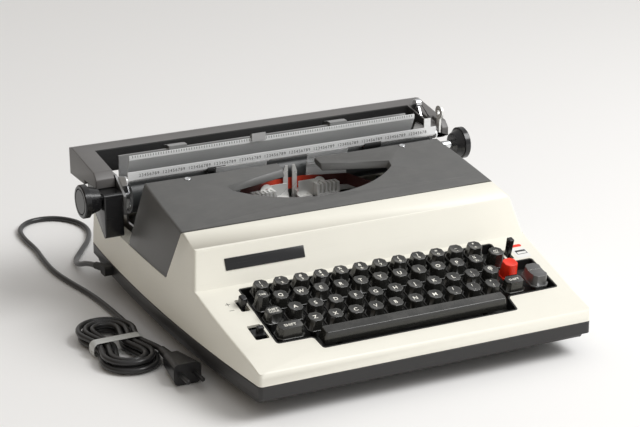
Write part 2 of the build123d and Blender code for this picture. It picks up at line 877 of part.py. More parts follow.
# Space bar on a wire bail that reaches round the other levers
space_under = on_deck(0, space_v, key_rise - key_height)
with BuildPart() as space_bar:
    for level, inset in ((0, 0), (key_height, 1.6)):
        with BuildSketch(deck.offset(key_rise - key_height + level)) as section:
            with Locations((0, space_v)):
                Rectangle(2 * (space_half_width - inset), space_depth - 2 * inset)
            fillet(section.vertices(), 2.0)
    loft(ruled=True)
    with BuildSketch(Plane.XY.offset(lever_level)):
        with Locations((-space_stem_x, space_under.Y), (space_stem_x, space_under.Y)):
            Rectangle(stem_thickness, stem_width)
    extrude(amount=space_under.Z + 1 - lever_level)
    with BuildSketch(Plane.XY.offset(lever_level)):
        with Locations(((space_lever_x[0] + space_lever_x[1]) / 2, space_under.Y)):
            Rectangle(space_lever_x[1] - space_lever_x[0], 4)
    extrude(amount=lever_height)
    for lever_x in space_lever_x:
        with BuildSketch(Plane.YZ.offset(lever_x)):
            with Locations(((space_under.Y - 2 + shaft_y) / 2, shaft_z)):
                Rectangle(shaft_y - space_under.Y + 2, lever_height)
        extrude(amount=stem_thickness / 2, both=True)
        with BuildSketch(Plane.YZ.offset(lever_x)):
            with Locations((shaft_y, shaft_z)):
                Circle(hub_radius)
        extrude(amount=hub_width / 2, both=True)
        with BuildSketch(Plane.YZ.offset(lever_x)):
            with Locations((shaft_y, shaft_z)):
                Circle(shaft_radius + fit_gap / 4)
        extrude(amount=hub_width, both=True, mode=Mode.SUBTRACT)
space_bar.part.label = "space_bar"
export_step(space_bar.part, "parts/space_bar.step")

# Type basket
ring_centre = Vector(0, ring_y, ring_z)
ring_plane = Plane(origin=ring_centre, x_dir=(1, 0, 0), z_dir=ring_vectors(0)[1])
bar_angles = [-bar_spread + 2 * bar_spread * place / (bar_count - 1) for place in range(bar_count)]
axis_reach = (print_level - ring_z) / cos(ring_tilt)
bar_length = hypot(ring_radius, axis_reach)
slug_from = bar_length - slug_length
with BuildPart() as type_segment:
    with BuildSketch(ring_plane.offset(-segment_height + 2)) as segment_plan:
        Circle(segment_outer)
        Circle(segment_inner, mode=Mode.SUBTRACT)
        with Locations((0, segment_outer)):
            Rectangle(3 * segment_outer, 2 * segment_outer, mode=Mode.SUBTRACT)
    extrude(amount=segment_height)
    for angle in bar_angles:
        outward, up = ring_vectors(angle)
        middle = ring_centre + outward * ring_radius
        with BuildSketch(Plane(origin=middle - up * 3.2, x_dir=outward, z_dir=up)):
            Rectangle(2 * (segment_outer - segment_inner), bar_slot)
        extrude(amount=segment_height, mode=Mode.SUBTRACT)
    for angle in bar_angles:
        outward, up = ring_vectors(angle)
        pivot = ring_centre + outward * ring_radius
        with BuildSketch(Plane(origin=pivot, x_dir=up, z_dir=outward.cross(up))):
            Circle(wire_radius)
        extrude(amount=bar_slot / 2 + wire_seat, both=True)
    with BuildSketch(Plane.XY.offset(ear_bottom)):
        for side in (-1, 1):
            with Locations((side * (rod_x - 3.5), rod_y)):
                Rectangle(15, 6.8)
    extrude(amount=ear_height)
    with BuildSketch(Plane.XY.offset(ear_bottom)):
        for side in (-1, 1):
            with Locations((side * rod_x, rod_y)):
                Circle(rod_radius + running_fit)
    extrude(amount=ear_height, mode=Mode.SUBTRACT)
type_segment.part.label = "type_segment"
export_step(type_segment.part, "parts/type_segment.step")


def type_bar(angle):
    """One type bar at rest, from its pivot in the segment to its slug."""
    outward, up = ring_vectors(angle)
    pivot = ring_centre + outward * ring_radius
    along = outward * cos(bar_rest) + up * sin(bar_rest)
    side_plane = Plane(origin=pivot, x_dir=along, z_dir=along.cross(up).normalized())
    with BuildPart() as bar:
        with BuildSketch(side_plane):
            with BuildLine():
                Polyline(
                    (-2.4, -2.0), (bar_length, -bar_height / 2 + 0.6), (bar_length, bar_height / 2),
                    (slug_from, bar_height / 2), (-2.4, 2.0), close=True,
                )
            make_face()
        extrude(amount=bar_width / 2, both=True)
        with BuildSketch(side_plane):
            with Locations(((bar_length + slug_from) / 2, bar_height / 2 + slug_height / 2)):
                Rectangle(slug_length, slug_height)
        extrude(amount=slug_width / 2, both=True)
        with BuildSketch(side_plane):
            Circle(wire_radius + running_fit)
        extrude(amount=bar_width, both=True, mode=Mode.SUBTRACT)
    return bar.part


with BuildPart() as typebars:
    for angle in bar_angles:
        if abs(angle) > 0.1:
            add(type_bar(angle))
typebars.part.label = "typebars"
export_step(typebars.part, "parts/typebars.step")

with BuildPart() as centre_typebar:
    add(type_bar(0))
centre_typebar.part.label = "centre_typebar"
export_step(centre_typebar.part, "parts/centre_typebar.step")

# Guides at the print point, standing on the spool shelves, with a channel for the ribbon fork
fork_y = 76.2
fork_wall = 1.2
fork_half = 7.0
fork_slot = 4.6
fork_root = 3.0
fork_bottom = 82.0
fork_top = 118.0
guide_y = 70.0
guide_wall = 1.2
guide_top = 103.0
ear_x = 27.0
comb_inner_x = 21.0
comb_outer_x = 44.0
with BuildPart() as guide_plate:
    with BuildSketch(Plane.XZ.offset(-guide_y)):
        with Locations((0, shelf_level_top + 2.6)):
            Rectangle(2 * shelf_inner_x + 8, 5.2)
        with Locations((-ear_x / 2 - 3.5, 96), (ear_x / 2 + 3.5, 96)):
            Rectangle(ear_x - 5, 14)
        with Locations((-ear_x, guide_top - 5), (ear_x, guide_top - 5)):
            Circle(6.5)
            Circle(2.6, mode=Mode.SUBTRACT)
        with Locations((0, guide_top - 10)):
            Rectangle(9, 50, mode=Mode.SUBTRACT)
        with Locations((0, shelf_level_top - 4)):
            Rectangle(30, 10, mode=Mode.SUBTRACT)
    extrude(amount=-guide_wall)
    with BuildSketch(Plane.XZ.offset(-guide_y + 9)):
        for side in (-1, 1):
            with Locations((side * (comb_inner_x + comb_outer_x) / 2, 94)):
                Rectangle(comb_outer_x - comb_inner_x, 12)
    extrude(amount=-9)
    for side in (-1, 1):
        for rib in range(5):
            rib_x = side * (comb_inner_x + 3.4 + 4.0 * rib)
            with BuildSketch(Plane.XZ.offset(-guide_y + 12)):
                with Locations((rib_x, 96)):
                    Rectangle(2.0, 10)
            extrude(amount=-10.5, mode=Mode.SUBTRACT)
    with BuildSketch(Plane.XY.offset(shelf_level_top)):
        for side in (-1, 1):
            with Locations((side * 11, guide_y - 3)):
                Rectangle(13, 6)
    extrude(amount=1.6)
    with BuildSketch(Plane.XY.offset(shelf_level_top + 1)):
        for side in (-1, 1):
            with Locations((side * (fork_half + 1), guide_y + 4.6)):
                Rectangle(6, 8)
        with Locations((0, fork_y + fork_wall / 2)):
            Rectangle(
                2 * (fork_half + running_fit), fork_wall + 2 * running_fit, mode=Mode.SUBTRACT
            )
    extrude(amount=4.2)
guide_plate.part.label = "guide_plate"
export_step(guide_plate.part, "parts/guide_plate.step")

# Clear card holders that lead the paper round the platen
holder_y = 79.2
holder_wall = 1.0
holder_points = (
    (guide_y + guide_wall + holder_wall, 89), (holder_y, 93), (holder_y, 112), (holder_y - 3.6, 127),
)
with BuildPart() as card_holders:
    extrude(sheet_section(holder_points, holder_wall, Plane.YZ), amount=75, both=True)
    with BuildSketch(Plane.XZ.offset(-60)):
        with Locations((-3, 108)):
            Rectangle(42, 50)
        with Locations((80, 108)):
            Rectangle(40, 50)
    extrude(amount=-40, mode=Mode.SUBTRACT)
card_holders.part.label = "card_holders"
export_step(card_holders.part, "parts/card_holders.step")

# Ribbon, its spools and the fork that lifts it
ribbon_path = (
    (-ribbon_guide_x, ribbon_guide_y), (-20, ribbon_y - 2), (-13, ribbon_y), (13, ribbon_y),
    (20, ribbon_y - 2), (ribbon_guide_x, ribbon_guide_y),
)
guide_reach = hypot(spool_x - ribbon_guide_x, ribbon_guide_y - spool_y)
winding_clear = spool_winding + fit_gap
tangent_turn = acos(winding_clear / guide_reach)
tangent_angle = atan2(ribbon_guide_y - spool_y, ribbon_guide_x - spool_x) + tangent_turn
ribbon_start_x = spool_x + winding_clear * cos(tangent_angle)
ribbon_start_y = spool_y + winding_clear * sin(tangent_angle)
ribbon_ends = ((-ribbon_start_x, ribbon_start_y), (ribbon_start_x, ribbon_start_y))
with BuildPart() as ribbon:
    ribbon_route = (ribbon_ends[0], *ribbon_path, ribbon_ends[1])
    ribbon_plane = Plane.XY.offset(ribbon_level)
    extrude(sheet_section(ribbon_route, ribbon_thickness, ribbon_plane), amount=ribbon_height)
ribbon.part.label = "ribbon"
export_step(ribbon.part, "parts/ribbon.step")

for name, side in (("ribbon_spool_left", -1), ("ribbon_spool_right", 1)):
    with BuildPart() as spool:
        with BuildSketch(Plane.XY.offset(spool_level)):
            with Locations((side * spool_x, spool_y)):
                Circle(spool_radius)
        extrude(amount=spool_flange)
        with BuildSketch(Plane.XY.offset(spool_level + spool_flange)):
            with Locations((side * spool_x, spool_y)):
                Circle(spool_winding)
        extrude(amount=ribbon_height + 2)
        with BuildSketch(Plane.XY.offset(spool_level + spool_flange + ribbon_height + 2)):
            with Locations((side * spool_x, spool_y)):
                Circle(spool_radius)
                with PolarLocations(15, 6):
                    Circle(2.5, mode=Mode.SUBTRACT)
        extrude(amount=spool_flange)
        with BuildSketch(Plane.XY.offset(spool_level - 1)):
            with Locations((side * spool_x, spool_y)):
                Circle(spool_bore)
        extrude(amount=30, mode=Mode.SUBTRACT)
    spool.part.label = name
    export_step(spool.part, f"parts/{name}.step")

with BuildPart() as ribbon_fork:
    with BuildSketch(Plane.XZ.offset(-fork_y)):
        with BuildLine():
            Polyline(
                (-fork_half, fork_bottom), (fork_half, fork_bottom), (fork_half, fork_top - 6),
                (fork_half - 2, fork_top), (-fork_half + 2, fork_top), (-fork_half, fork_top - 6),
                close=True,
            )
        make_face()
        with Locations((0, fork_top)):
            Rectangle(fork_slot, 2 * (fork_top - fork_bottom - fork_root), mode=Mode.SUBTRACT)
    extrude(amount=-fork_wall)
ribbon_fork.part.label = "ribbon_fork"
export_step(ribbon_fork.part, "parts/ribbon_fork.step")

# Drive: motor, belt and the roller that powers the keys
with BuildPart() as motor:
    motor_length = motor_right_x - motor_left_x
    with BuildSketch(Plane.YZ.offset(motor_left_x)):
        with Locations((motor_y, motor_z)):
            Circle(motor_radius)
    extrude(amount=motor_length)
    fillet(motor.faces().filter_by(Axis.X).edges(), 3.0)
    with BuildSketch(Plane.YZ.offset(motor_left_x + 10)):
        with Locations((motor_y, motor_z)):
            with PolarLocations(motor_radius, 16):
                Rectangle(3, 2, mode=Mode.ADD)
        with Locations((motor_y, motor_z)):
            Circle(motor_radius - 2)
    extrude(amount=motor_length - 20)
    with BuildSketch(Plane.YZ.offset(motor_right_x)):
        with Locations((motor_y, motor_z)):
            Circle(9)
    extrude(amount=1.2)
    with BuildSketch(Plane.YZ.offset(motor_right_x)):
        with Locations((motor_y, motor_z)):
            Circle(motor_shaft_radius)
    extrude(amount=pulley_x + pulley_width / 2 + 2 - motor_right_x)
    with BuildSketch(Plane.XY.offset(floor_level)):
        with Locations(((motor_left_x + motor_right_x) / 2, motor_y)):
            Rectangle(motor_length - 24, 22)
    extrude(amount=motor_z - motor_radius - floor_level + 3)
motor.part.label = "motor"
export_step(motor.part, "parts/motor.step")


def crowned_pulley(centre_y, centre_z, radius, bore):
    """Flat-belt pulley with two rims."""
    with BuildPart() as pulley:
        start = pulley_x - pulley_width / 2
        with BuildSketch(Plane.YZ.offset(start)):
            with Locations((centre_y, centre_z)):
                Circle(radius)
        extrude(amount=pulley_width)
        for rim_x in (start, start + pulley_width - 1):
            with BuildSketch(Plane.YZ.offset(rim_x)):
                with Locations((centre_y, centre_z)):
                    Circle(radius + belt_thickness + 1)
            extrude(amount=1)
        if bore > 0:
            with BuildSketch(Plane.YZ.offset(start - 1)):
                with Locations((centre_y, centre_z)):
                    Circle(bore)
            extrude(amount=pulley_width + 2, mode=Mode.SUBTRACT)
    return pulley.part


with BuildPart() as motor_pulley:
    add(crowned_pulley(motor_y, motor_z, motor_pulley_radius, motor_shaft_radius + 0.1))
motor_pulley.part.label = "motor_pulley"
export_step(motor_pulley.part, "parts/motor_pulley.step")

with BuildPart() as power_roller:
    with BuildSketch(Plane.YZ.offset(-frame_x + 2)):
        with Locations((roller_y, roller_z)):
            Circle(roller_radius)
    extrude(amount=2 * frame_x - 4)
    with BuildSketch(Plane.YZ.offset(-frame_x - frame_wall - 1)):
        with Locations((roller_y, roller_z)):
            Circle(roller_shaft_radius)
    extrude(amount=2 * (frame_x + frame_wall + 1))
    add(crowned_pulley(roller_y, roller_z, roller_pulley_radius, 0))
power_roller.part.label = "power_roller"
export_step(power_roller.part, "parts/power_roller.step")


def belt_loop(grow):
    """Outline of the belt round both pulleys, a margin outside them."""
    with BuildSketch(Plane.YZ.offset(pulley_x)) as loop:
        with BuildLine():
            CenterArc((motor_y, motor_z), motor_pulley_radius + grow, 0, 360)
            CenterArc((roller_y, roller_z), roller_pulley_radius + grow, 0, 360)
        make_hull()
    return loop.sketch


with BuildPart() as drive_belt:
    extrude(belt_loop(running_gap + belt_thickness), amount=belt_width / 2, both=True)
    extrude(belt_loop(running_gap), amount=belt_width, both=True, mode=Mode.SUBTRACT)
drive_belt.part.label = "drive_belt"
export_step(drive_belt.part, "parts/drive_belt.step")

# Controls on the deck
with BuildPart() as touch_lever:
    with BuildSketch(deck.offset(-pivot_drop)):
        with Locations((touch_u, touch_v)):
            RectangleRounded(4.0, 6.0, 1.0)
    extrude(amount=pivot_drop + 2)
    with BuildSketch(deck.offset(2)):
        with Locations((touch_u, touch_v)):
            RectangleRounded(6.0, 8.0, 2.0)
    extrude(amount=7)
    fillet(touch_lever.faces().sort_by(Axis.Z)[-1].edges(), 1.5)
    with BuildSketch(Plane.YZ.offset(touch_u)):
        with Locations((touch_pivot.Y, touch_pivot.Z)):
            Circle(3.0)
    extrude(amount=3, both=True)
    with BuildSketch(Plane.YZ.offset(touch_u)):
        with Locations((touch_pivot.Y, touch_pivot.Z)):
            Circle(pivot_radius)
    extrude(amount=touch_lug_u + 1, both=True)
touch_lever.part.label = "touch_lever"
export_step(touch_lever.part, "parts/touch_lever.step")

with BuildPart() as ribbon_slider:
    with BuildSketch(deck.offset(-5)):
        with Locations((slider_u, slider_v)):
            RectangleRounded(slider_slot_width - 1.2, slider_slot_length - 2 * slider_travel - 0.8, 1.0)
    extrude(amount=5 - fit_gap)
    with BuildSketch(deck.offset(-fit_gap)):
        with Locations((slider_u + 1.5, slider_v)):
            RectangleRounded(6.0, 4.0, 0.8)
    extrude(amount=6)
    fillet(ribbon_slider.faces().sort_by(Axis.Z)[-1].edges(), 0.8)
ribbon_slider.part.label = "ribbon_slider"
export_step(ribbon_slider.part, "parts/ribbon_slider.step")

power_pivot = on_deck(power_u, power_v, -pivot_drop)
power_bar_width = 4.4
power_bar_depth = 5.2
power_bar_height = 17.0
switch_u = power_u + 1.5
switch_width = 13.0
with BuildPart() as power_lever:
    with BuildSketch(deck.offset(-pivot_drop)):
        with Locations((power_u, power_v)):
            Circle(2.0)
    extrude(amount=pivot_drop + 1)
    with BuildSketch(deck.offset(0.6)):
        with Locations((power_u, power_v)):
            RectangleRounded(power_bar_width, power_bar_depth, 0.8)
    with BuildSketch(deck.offset(power_bar_height)):
        with Locations((power_u, power_v)):
            RectangleRounded(power_bar_width + 0.8, power_bar_depth + 0.6, 0.9)
    loft()
    fillet(power_lever.faces().sort_by(Axis.Z)[-1].edges(), 0.7)
    with BuildSketch(Plane.YZ.offset(power_u)):
        with Locations((power_pivot.Y, power_pivot.Z)):
            Circle(3.0)
    extrude(amount=3, both=True)
    with BuildSketch(Plane.YZ.offset(switch_u)):
        with Locations((power_pivot.Y, power_pivot.Z)):
            Circle(pivot_radius)
    extrude(amount=switch_width / 2, both=True)
power_lever.part.label = "power_lever"
export_step(power_lever.part, "parts/power_lever.step")

with BuildPart() as power_switch:
    with BuildSketch(deck.offset(-shell_wall - 1.6)):
        with Locations((switch_u, power_v)):
            Rectangle(switch_width, 17)
        with Locations((power_u, power_v)):
            Rectangle(power_slot_width, power_slot_length, mode=Mode.SUBTRACT)
    extrude(amount=1.6)
    with BuildSketch(deck.offset(-shell_wall - 14)):
        with Locations((switch_u, power_v)):
            Rectangle(switch_width, 17)
            Rectangle(switch_width - 2, 15, mode=Mode.SUBTRACT)
    extrude(amount=13)
    with BuildSketch(Plane.YZ.offset(switch_u)):
        with Locations((power_pivot.Y, power_pivot.Z)):
            Circle(pivot_radius + running_fit)
    extrude(amount=switch_width, both=True, mode=Mode.SUBTRACT)
power_switch.part.label = "power_switch"
export_step(power_switch.part, "parts/power_switch.step")

# Carriage: steel frame, covers and the left end box
runner_half = 150.0
runner_wall = 4.0
with BuildPart() as carriage_frame:
    with BuildSketch(Plane.XY.offset(bed_level)):
        with Locations((0, (124 + 160) / 2)):
            Rectangle(2 * end_plate_x, 160 - 124)
        with GridLocations(60, 30, 4, 1):
            with Locations((0, 142)):
                Circle(5, mode=Mode.SUBTRACT)
    extrude(amount=bed_wall)
    end_outline = (
        (83, 92), (122, 92), (126, bed_level), (158, bed_level), (158, housing_bottom - fit_gap),
        (134, housing_bottom - fit_gap), (126, 124), (104, 124), (83, 110),
    )
    for start in (-end_plate_x - end_plate_wall, end_plate_x):
        with BuildSketch(Plane.YZ.offset(start)):
            with BuildLine():
                Polyline(*end_outline, close=True)
            make_face()
            with Locations((platen_y, platen_z)):
                Circle(platen_shaft_radius + running_fit, mode=Mode.SUBTRACT)
            with Locations((bail_pivot_y, bail_pivot_z)):
                Circle(bail_pin_radius + running_fit, mode=Mode.SUBTRACT)
        extrude(amount=end_plate_wall)
    runner_reach = rail_depth / 2 + running_fit + runner_wall / 2
    with BuildSketch(Plane.XY.offset(shelf_level + 1)):
        with Locations((0, rail_front_y + rail_depth / 2)):
            with GridLocations(1, 2 * runner_reach, 1, 2):
                Rectangle(2 * runner_half, runner_wall)
    extrude(amount=bed_level - shelf_level - 1)
    rail_bottom = bed_level + bed_wall
    with BuildSketch(Plane.YZ):
        with Locations((margin_rail_y, (rail_bottom + margin_rail_top) / 2)):
            Rectangle(2.0, margin_rail_top - rail_bottom)
    extrude(amount=150, both=True)
carriage_frame.part.label = "carriage_frame"
export_step(carriage_frame.part, "parts/carriage_frame.step")

# Pins of the two levers at the right end, as start, end, Y and Z of the pivot
lever_pin_radius = 1.5
release_pin = (165.6, 172.8, 126.0, 118.0)
carriage_pin = (172.2, 180.0, 107.0, 117.0)

housing_section = (
    (housing_front_y, 113.4), (housing_front_y, 122), (109, 128), (164, 136),
    (housing_rear_y, 134.5), (housing_rear_y, housing_bottom), (134, housing_bottom), (134, 113.4),
)

with BuildPart() as rear_housing:
    with BuildSketch(Plane.YZ.offset(housing_left_x)):
        with BuildLine():
            Polyline(*housing_section, close=True)
        make_face()
    extrude(amount=housing_right_x - housing_left_x)
    with BuildSketch(Plane.YZ.offset(channel_left_x)):
        with BuildLine():
            Polyline(
                (housing_front_y - 1, 100), (channel_rear_y, 100), (channel_rear_y, 140),
                (housing_front_y - 1, 140), close=True,
            )
        make_face()
    extrude(amount=channel_right_x - channel_left_x, mode=Mode.SUBTRACT)
    with BuildSketch(Plane.YZ.offset(channel_left_x)):
        with BuildLine():
            Polyline(
                (channel_rear_y - 1, housing_bottom - 1), (housing_rear_y - housing_wall, housing_bottom - 1),
                (housing_rear_y - housing_wall, 131.8), (164, 133.2), (channel_rear_y + housing_wall, 131.6),
                (channel_rear_y + housing_wall, 112), (channel_rear_y - 1, 112), close=True,
            )
        make_face()
    extrude(amount=channel_right_x - channel_left_x, mode=Mode.SUBTRACT)
    fillet(
        rear_housing.edges().filter_by(Axis.X).filter_by_position(Axis.Y, 163, 172).filter_by_position(
            Axis.Z, 134, 137), 1.5,
    )
    lever_slots = ((167.0, 4.6, 118, 152), (173.4, 4.6, 101, 122))
    for slot_x, slot_wide, slot_front, slot_rear in lever_slots:
        with BuildSketch(Plane.XY.offset(114)):
            with Locations((slot_x + slot_wide / 2, (slot_front + slot_rear) / 2)):
                Rectangle(slot_wide, slot_rear - slot_front)
        extrude(amount=40, mode=Mode.SUBTRACT)
    for pin_start, pin_end, pivot_y, pivot_z in (release_pin, carriage_pin):
        with BuildSketch(Plane.YZ.offset(pin_start)):
            with Locations((pivot_y, pivot_z)):
                Circle(lever_pin_radius + running_fit)
        extrude(amount=pin_end - pin_start, mode=Mode.SUBTRACT)
rear_housing.part.label = "rear_housing"
export_step(rear_housing.part, "parts/rear_housing.step")

with BuildPart() as left_end_box:
    box_outline = ((85, 71.5), (90, 71.5), (109, 86), (128, 100), (128, 113), (85, 113))
    with BuildSketch(Plane.YZ.offset(box_left_x)) as box_sketch:
        with BuildLine():
            Polyline(*box_outline, close=True)
        make_face()
        fillet(box_sketch.vertices().group_by(Axis.X)[0], 2.5)
    extrude(amount=-end_plate_x - end_plate_wall - box_left_x)
    with BuildSketch(Plane.YZ.offset(box_left_x + 2)):
        with BuildLine():
            Polyline(*inset_polygon(box_outline, (2, 2, 2, 2, 2, 2)), close=True)
        make_face()
    extrude(amount=20, mode=Mode.SUBTRACT)
    with BuildSketch(Plane.YZ.offset(box_left_x - 1)):
        with Locations((platen_y, platen_z)):
            Circle(platen_shaft_radius + running_gap)
    extrude(amount=4, mode=Mode.SUBTRACT)
left_end_box.part.label = "left_end_box"
export_step(left_end_box.part, "parts/left_end_box.step")

# Paper table behind the platen, with the rear scale on its top edge
table_points = (
    (117.2, 103.5), (118, 112), (112, 124), (rear_scale_y, rear_scale_top - rear_scale_height),
)
with BuildPart() as paper_table:
    extrude(sheet_section(table_points, 1.2, Plane.YZ), amount=148, both=True)
    with BuildSketch(Plane.YZ):
        with Locations((rear_scale_y, rear_scale_top - rear_scale_height / 2)):
            Rectangle(1.2, rear_scale_height)
    extrude(amount=148, both=True)
    with BuildSketch(Plane.XY.offset(bed_level + bed_wall)):
        for bracket_x in (-120, 0, 120):
            with Locations((bracket_x, 122)):
                Rectangle(10, 9)
    extrude(amount=5)
paper_table.part.label = "paper_table"
export_step(paper_table.part, "parts/paper_table.step")

# Platen with its shaft, ratchet wheel and knobs
with BuildPart() as platen:
    with BuildSketch(Plane.YZ):
        with Locations((platen_y, platen_z)):
            Circle(platen_radius)
            Circle(platen_core_radius, mode=Mode.SUBTRACT)
    extrude(amount=platen_half, both=True)
platen.part.label = "platen"
export_step(platen.part, "parts/platen.step")

with BuildPart() as platen_shaft:
    with BuildSketch(Plane.YZ):
        with Locations((platen_y, platen_z)):
            Circle(platen_core_radius)
    extrude(amount=platen_half, both=True)
    with BuildSketch(Plane.YZ):
        with Locations((platen_y, platen_z)):
            Circle(platen_shaft_radius)
    extrude(amount=knob_end_x - 3, both=True)
platen_shaft.part.label = "platen_shaft"
export_step(platen_shaft.part, "parts/platen_shaft.step")

with BuildPart() as ratchet_wheel:
    with BuildSketch(Plane.YZ.offset(-platen_half - ratchet_width)):
        with Locations((platen_y, platen_z)):
            Circle(ratchet_radius - 1.4)
            with PolarLocations(ratchet_radius - 1.2, ratchet_teeth):
                RegularPolygon(1.4, 3)
            Circle(platen_shaft_radius, mode=Mode.SUBTRACT)
    extrude(amount=ratchet_width)
ratchet_wheel.part.label = "ratchet_wheel"
export_step(ratchet_wheel.part, "parts/ratchet_wheel.step")

knob_left_start = box_left_x - 1.8
knob_right_start = housing_right_x + 1.5
with BuildPart() as platen_knobs:
    for side, start in ((-1, -knob_left_start), (1, knob_right_start)):
        length = knob_end_x - start
        rim_start = start + length - knob_rim
        for cone_x, cone_radius in ((start, knob_hub_radius), (rim_start, knob_neck_radius)):
            with BuildSketch(Plane.YZ.offset(side * cone_x)):
                with Locations((platen_y, platen_z)):
                    Circle(cone_radius)
        loft()
        with BuildSketch(Plane.YZ.offset(side * rim_start)):
            with Locations((platen_y, platen_z)):
                Circle(knob_radius)
        extrude(amount=side * knob_rim)
        with BuildSketch(Plane.YZ.offset(side * knob_end_x)):
            with Locations((platen_y, platen_z)):
                Circle(knob_radius - 3.2)
                Circle(knob_radius - 4.4, mode=Mode.SUBTRACT)
        extrude(amount=-side * 1.2, mode=Mode.SUBTRACT)
        with BuildSketch(Plane.YZ.offset(side * (start - 1))):
            with Locations((platen_y, platen_z)):
                Circle(platen_shaft_radius)
        extrude(amount=side * (length - 2), mode=Mode.SUBTRACT)
    outer_faces = platen_knobs.faces().filter_by(Axis.X).group_by(Axis.X)
    chamfer(outer_faces[0].edges().group_by(SortBy.LENGTH)[-1], 1.0)
    chamfer(outer_faces[-1].edges().group_by(SortBy.LENGTH)[-1], 1.0)
platen_knobs.part.label = "platen_knobs"
export_step(platen_knobs.part, "parts/platen_knobs.step")

# Paper bail: scale bar and rollers on a rod between two arms
bail_reach = platen_radius + bail_roller_radius + running_gap
bail_y = platen_y - bail_reach * sin(bail_angle)
bail_z = platen_z + bail_reach * cos(bail_angle)
bail_arm_x = end_plate_x - running_gap - bail_arm_wall
bail_rod_radius = 1.6
bail_tab_inset = 6.0
bail_tab_width = 7.0
bail_tab_height = 9.0
bail_roller_x = (-72.0, 90.0)
bail_roller_length = 18.0
with BuildPart() as paper_bail:
    with BuildSketch(Plane.YZ.offset(-bail_arm_x - bail_arm_wall)):
        with Locations((bail_y, bail_z)):
            Circle(bail_rod_radius)
    extrude(amount=2 * (bail_arm_x + bail_arm_wall))
    bail_front = bail_y - bail_roller_radius + 1.2
    with BuildSketch(Plane.YZ.offset(-bail_arm_x)):
        with Locations((bail_front, bail_z + bail_scale_height / 2 + 1)):
            Rectangle(1.0, bail_scale_height)
    extrude(amount=2 * bail_arm_x)
    with BuildSketch(Plane.YZ.offset(bail_arm_x - bail_tab_inset)):
        with Locations((bail_front, bail_z + 1 + bail_scale_height + bail_tab_height / 2)):
            Rectangle(1.0, bail_tab_height)
    extrude(amount=-bail_tab_width)
    for tab_x in (-bail_arm_x + 3, -20, 40, bail_arm_x - 3):
        with BuildSketch(Plane.YZ.offset(tab_x)):
            with Locations(((bail_front + bail_y) / 2, bail_z + 1.8)):
                Rectangle(bail_y - bail_front + 1, 2.4)
        extrude(amount=2, both=True)
    for start in (-bail_arm_x - bail_arm_wall, bail_arm_x):
        with BuildSketch(Plane.YZ.offset(start)):
            with BuildLine():
                CenterArc((bail_y, bail_z), 4.0, 0, 360)
                CenterArc((bail_pivot_y, bail_pivot_z), 5.0, 0, 360)
            make_hull()
        extrude(amount=bail_arm_wall)
    for side in (-1, 1):
        with BuildSketch(Plane.YZ.offset(side * bail_arm_x)):
            with Locations((bail_pivot_y, bail_pivot_z)):
                Circle(bail_pin_radius)
        extrude(amount=side * (bail_arm_wall + running_gap + end_plate_wall))
paper_bail.part.label = "paper_bail"
export_step(paper_bail.part, "parts/paper_bail.step")

with BuildPart() as bail_rollers:
    for roller_x in bail_roller_x:
        with BuildSketch(Plane.YZ.offset(roller_x - bail_roller_length / 2)):
            with Locations((bail_y, bail_z)):
                Circle(bail_roller_radius)
                Circle(bail_rod_radius, mode=Mode.SUBTRACT)
        extrude(amount=bail_roller_length)
    bail_box = Box(2 * bail_arm_x, 1.2, bail_scale_height, mode=Mode.PRIVATE)
    add(
        bail_box.moved(Location((0, bail_front, bail_z + bail_scale_height / 2 + 1))),
        mode=Mode.SUBTRACT,
    )
bail_rollers.part.label = "bail_rollers"
export_step(bail_rollers.part, "parts/bail_rollers.step")

# Levers at the right end
release_pivot_y = release_pin[2]
release_pivot_z = release_pin[3]
release_knob_y = 138.0
release_knob_z = 139.0
release_x = 168.2
with BuildPart() as paper_release_lever:
    with BuildSketch(Plane.YZ.offset(release_x)):
        with BuildLine():
            CenterArc((release_pivot_y, release_pivot_z), 3.0, 0, 360)
            CenterArc((release_knob_y, release_knob_z), 2.0, 0, 360)
        make_hull()
    extrude(amount=1.6)
    with BuildSketch(Plane.YZ.offset(release_x - 2.2)):
        with Locations((release_knob_y, release_knob_z)):
            Circle(4.5)
    extrude(amount=6)
    release_rims = paper_release_lever.edges().filter_by(GeomType.CIRCLE)
    fillet(release_rims.filter_by_position(Axis.Z, 134, 145).filter_by(lambda rim: rim.radius > 4), 0.6)
    with BuildSketch(Plane.YZ.offset(release_pin[0])):
        with Locations((release_pivot_y, release_pivot_z)):
            Circle(lever_pin_radius)
    extrude(amount=release_pin[1] - release_pin[0])
paper_release_lever.part.label = "paper_release_lever"
export_step(paper_release_lever.part, "parts/paper_release_lever.step")

carriage_lever_y = carriage_pin[2]
carriage_lever_z = carriage_pin[3]
disc_z = 138.0
with BuildPart() as carriage_release_lever:
    with BuildSketch(Plane.YZ.offset(174.6)):
        with BuildLine():
            CenterArc((carriage_lever_y, carriage_lever_z), 3.0, 0, 360)
            CenterArc((carriage_lever_y - 2, disc_z), 2.5, 0, 360)
        make_hull()
        with Locations((carriage_lever_y - 2, disc_z)):
            Circle(6.5)
            Circle(2.2, mode=Mode.SUBTRACT)
    extrude(amount=2.0)
    with BuildSketch(Plane.YZ.offset(carriage_pin[0])):
        with Locations((carriage_lever_y, carriage_lever_z)):
            Circle(lever_pin_radius)
    extrude(amount=carriage_pin[1] - carriage_pin[0])
carriage_release_lever.part.label = "carriage_release_lever"
export_step(carriage_release_lever.part, "parts/carriage_release_lever.step")

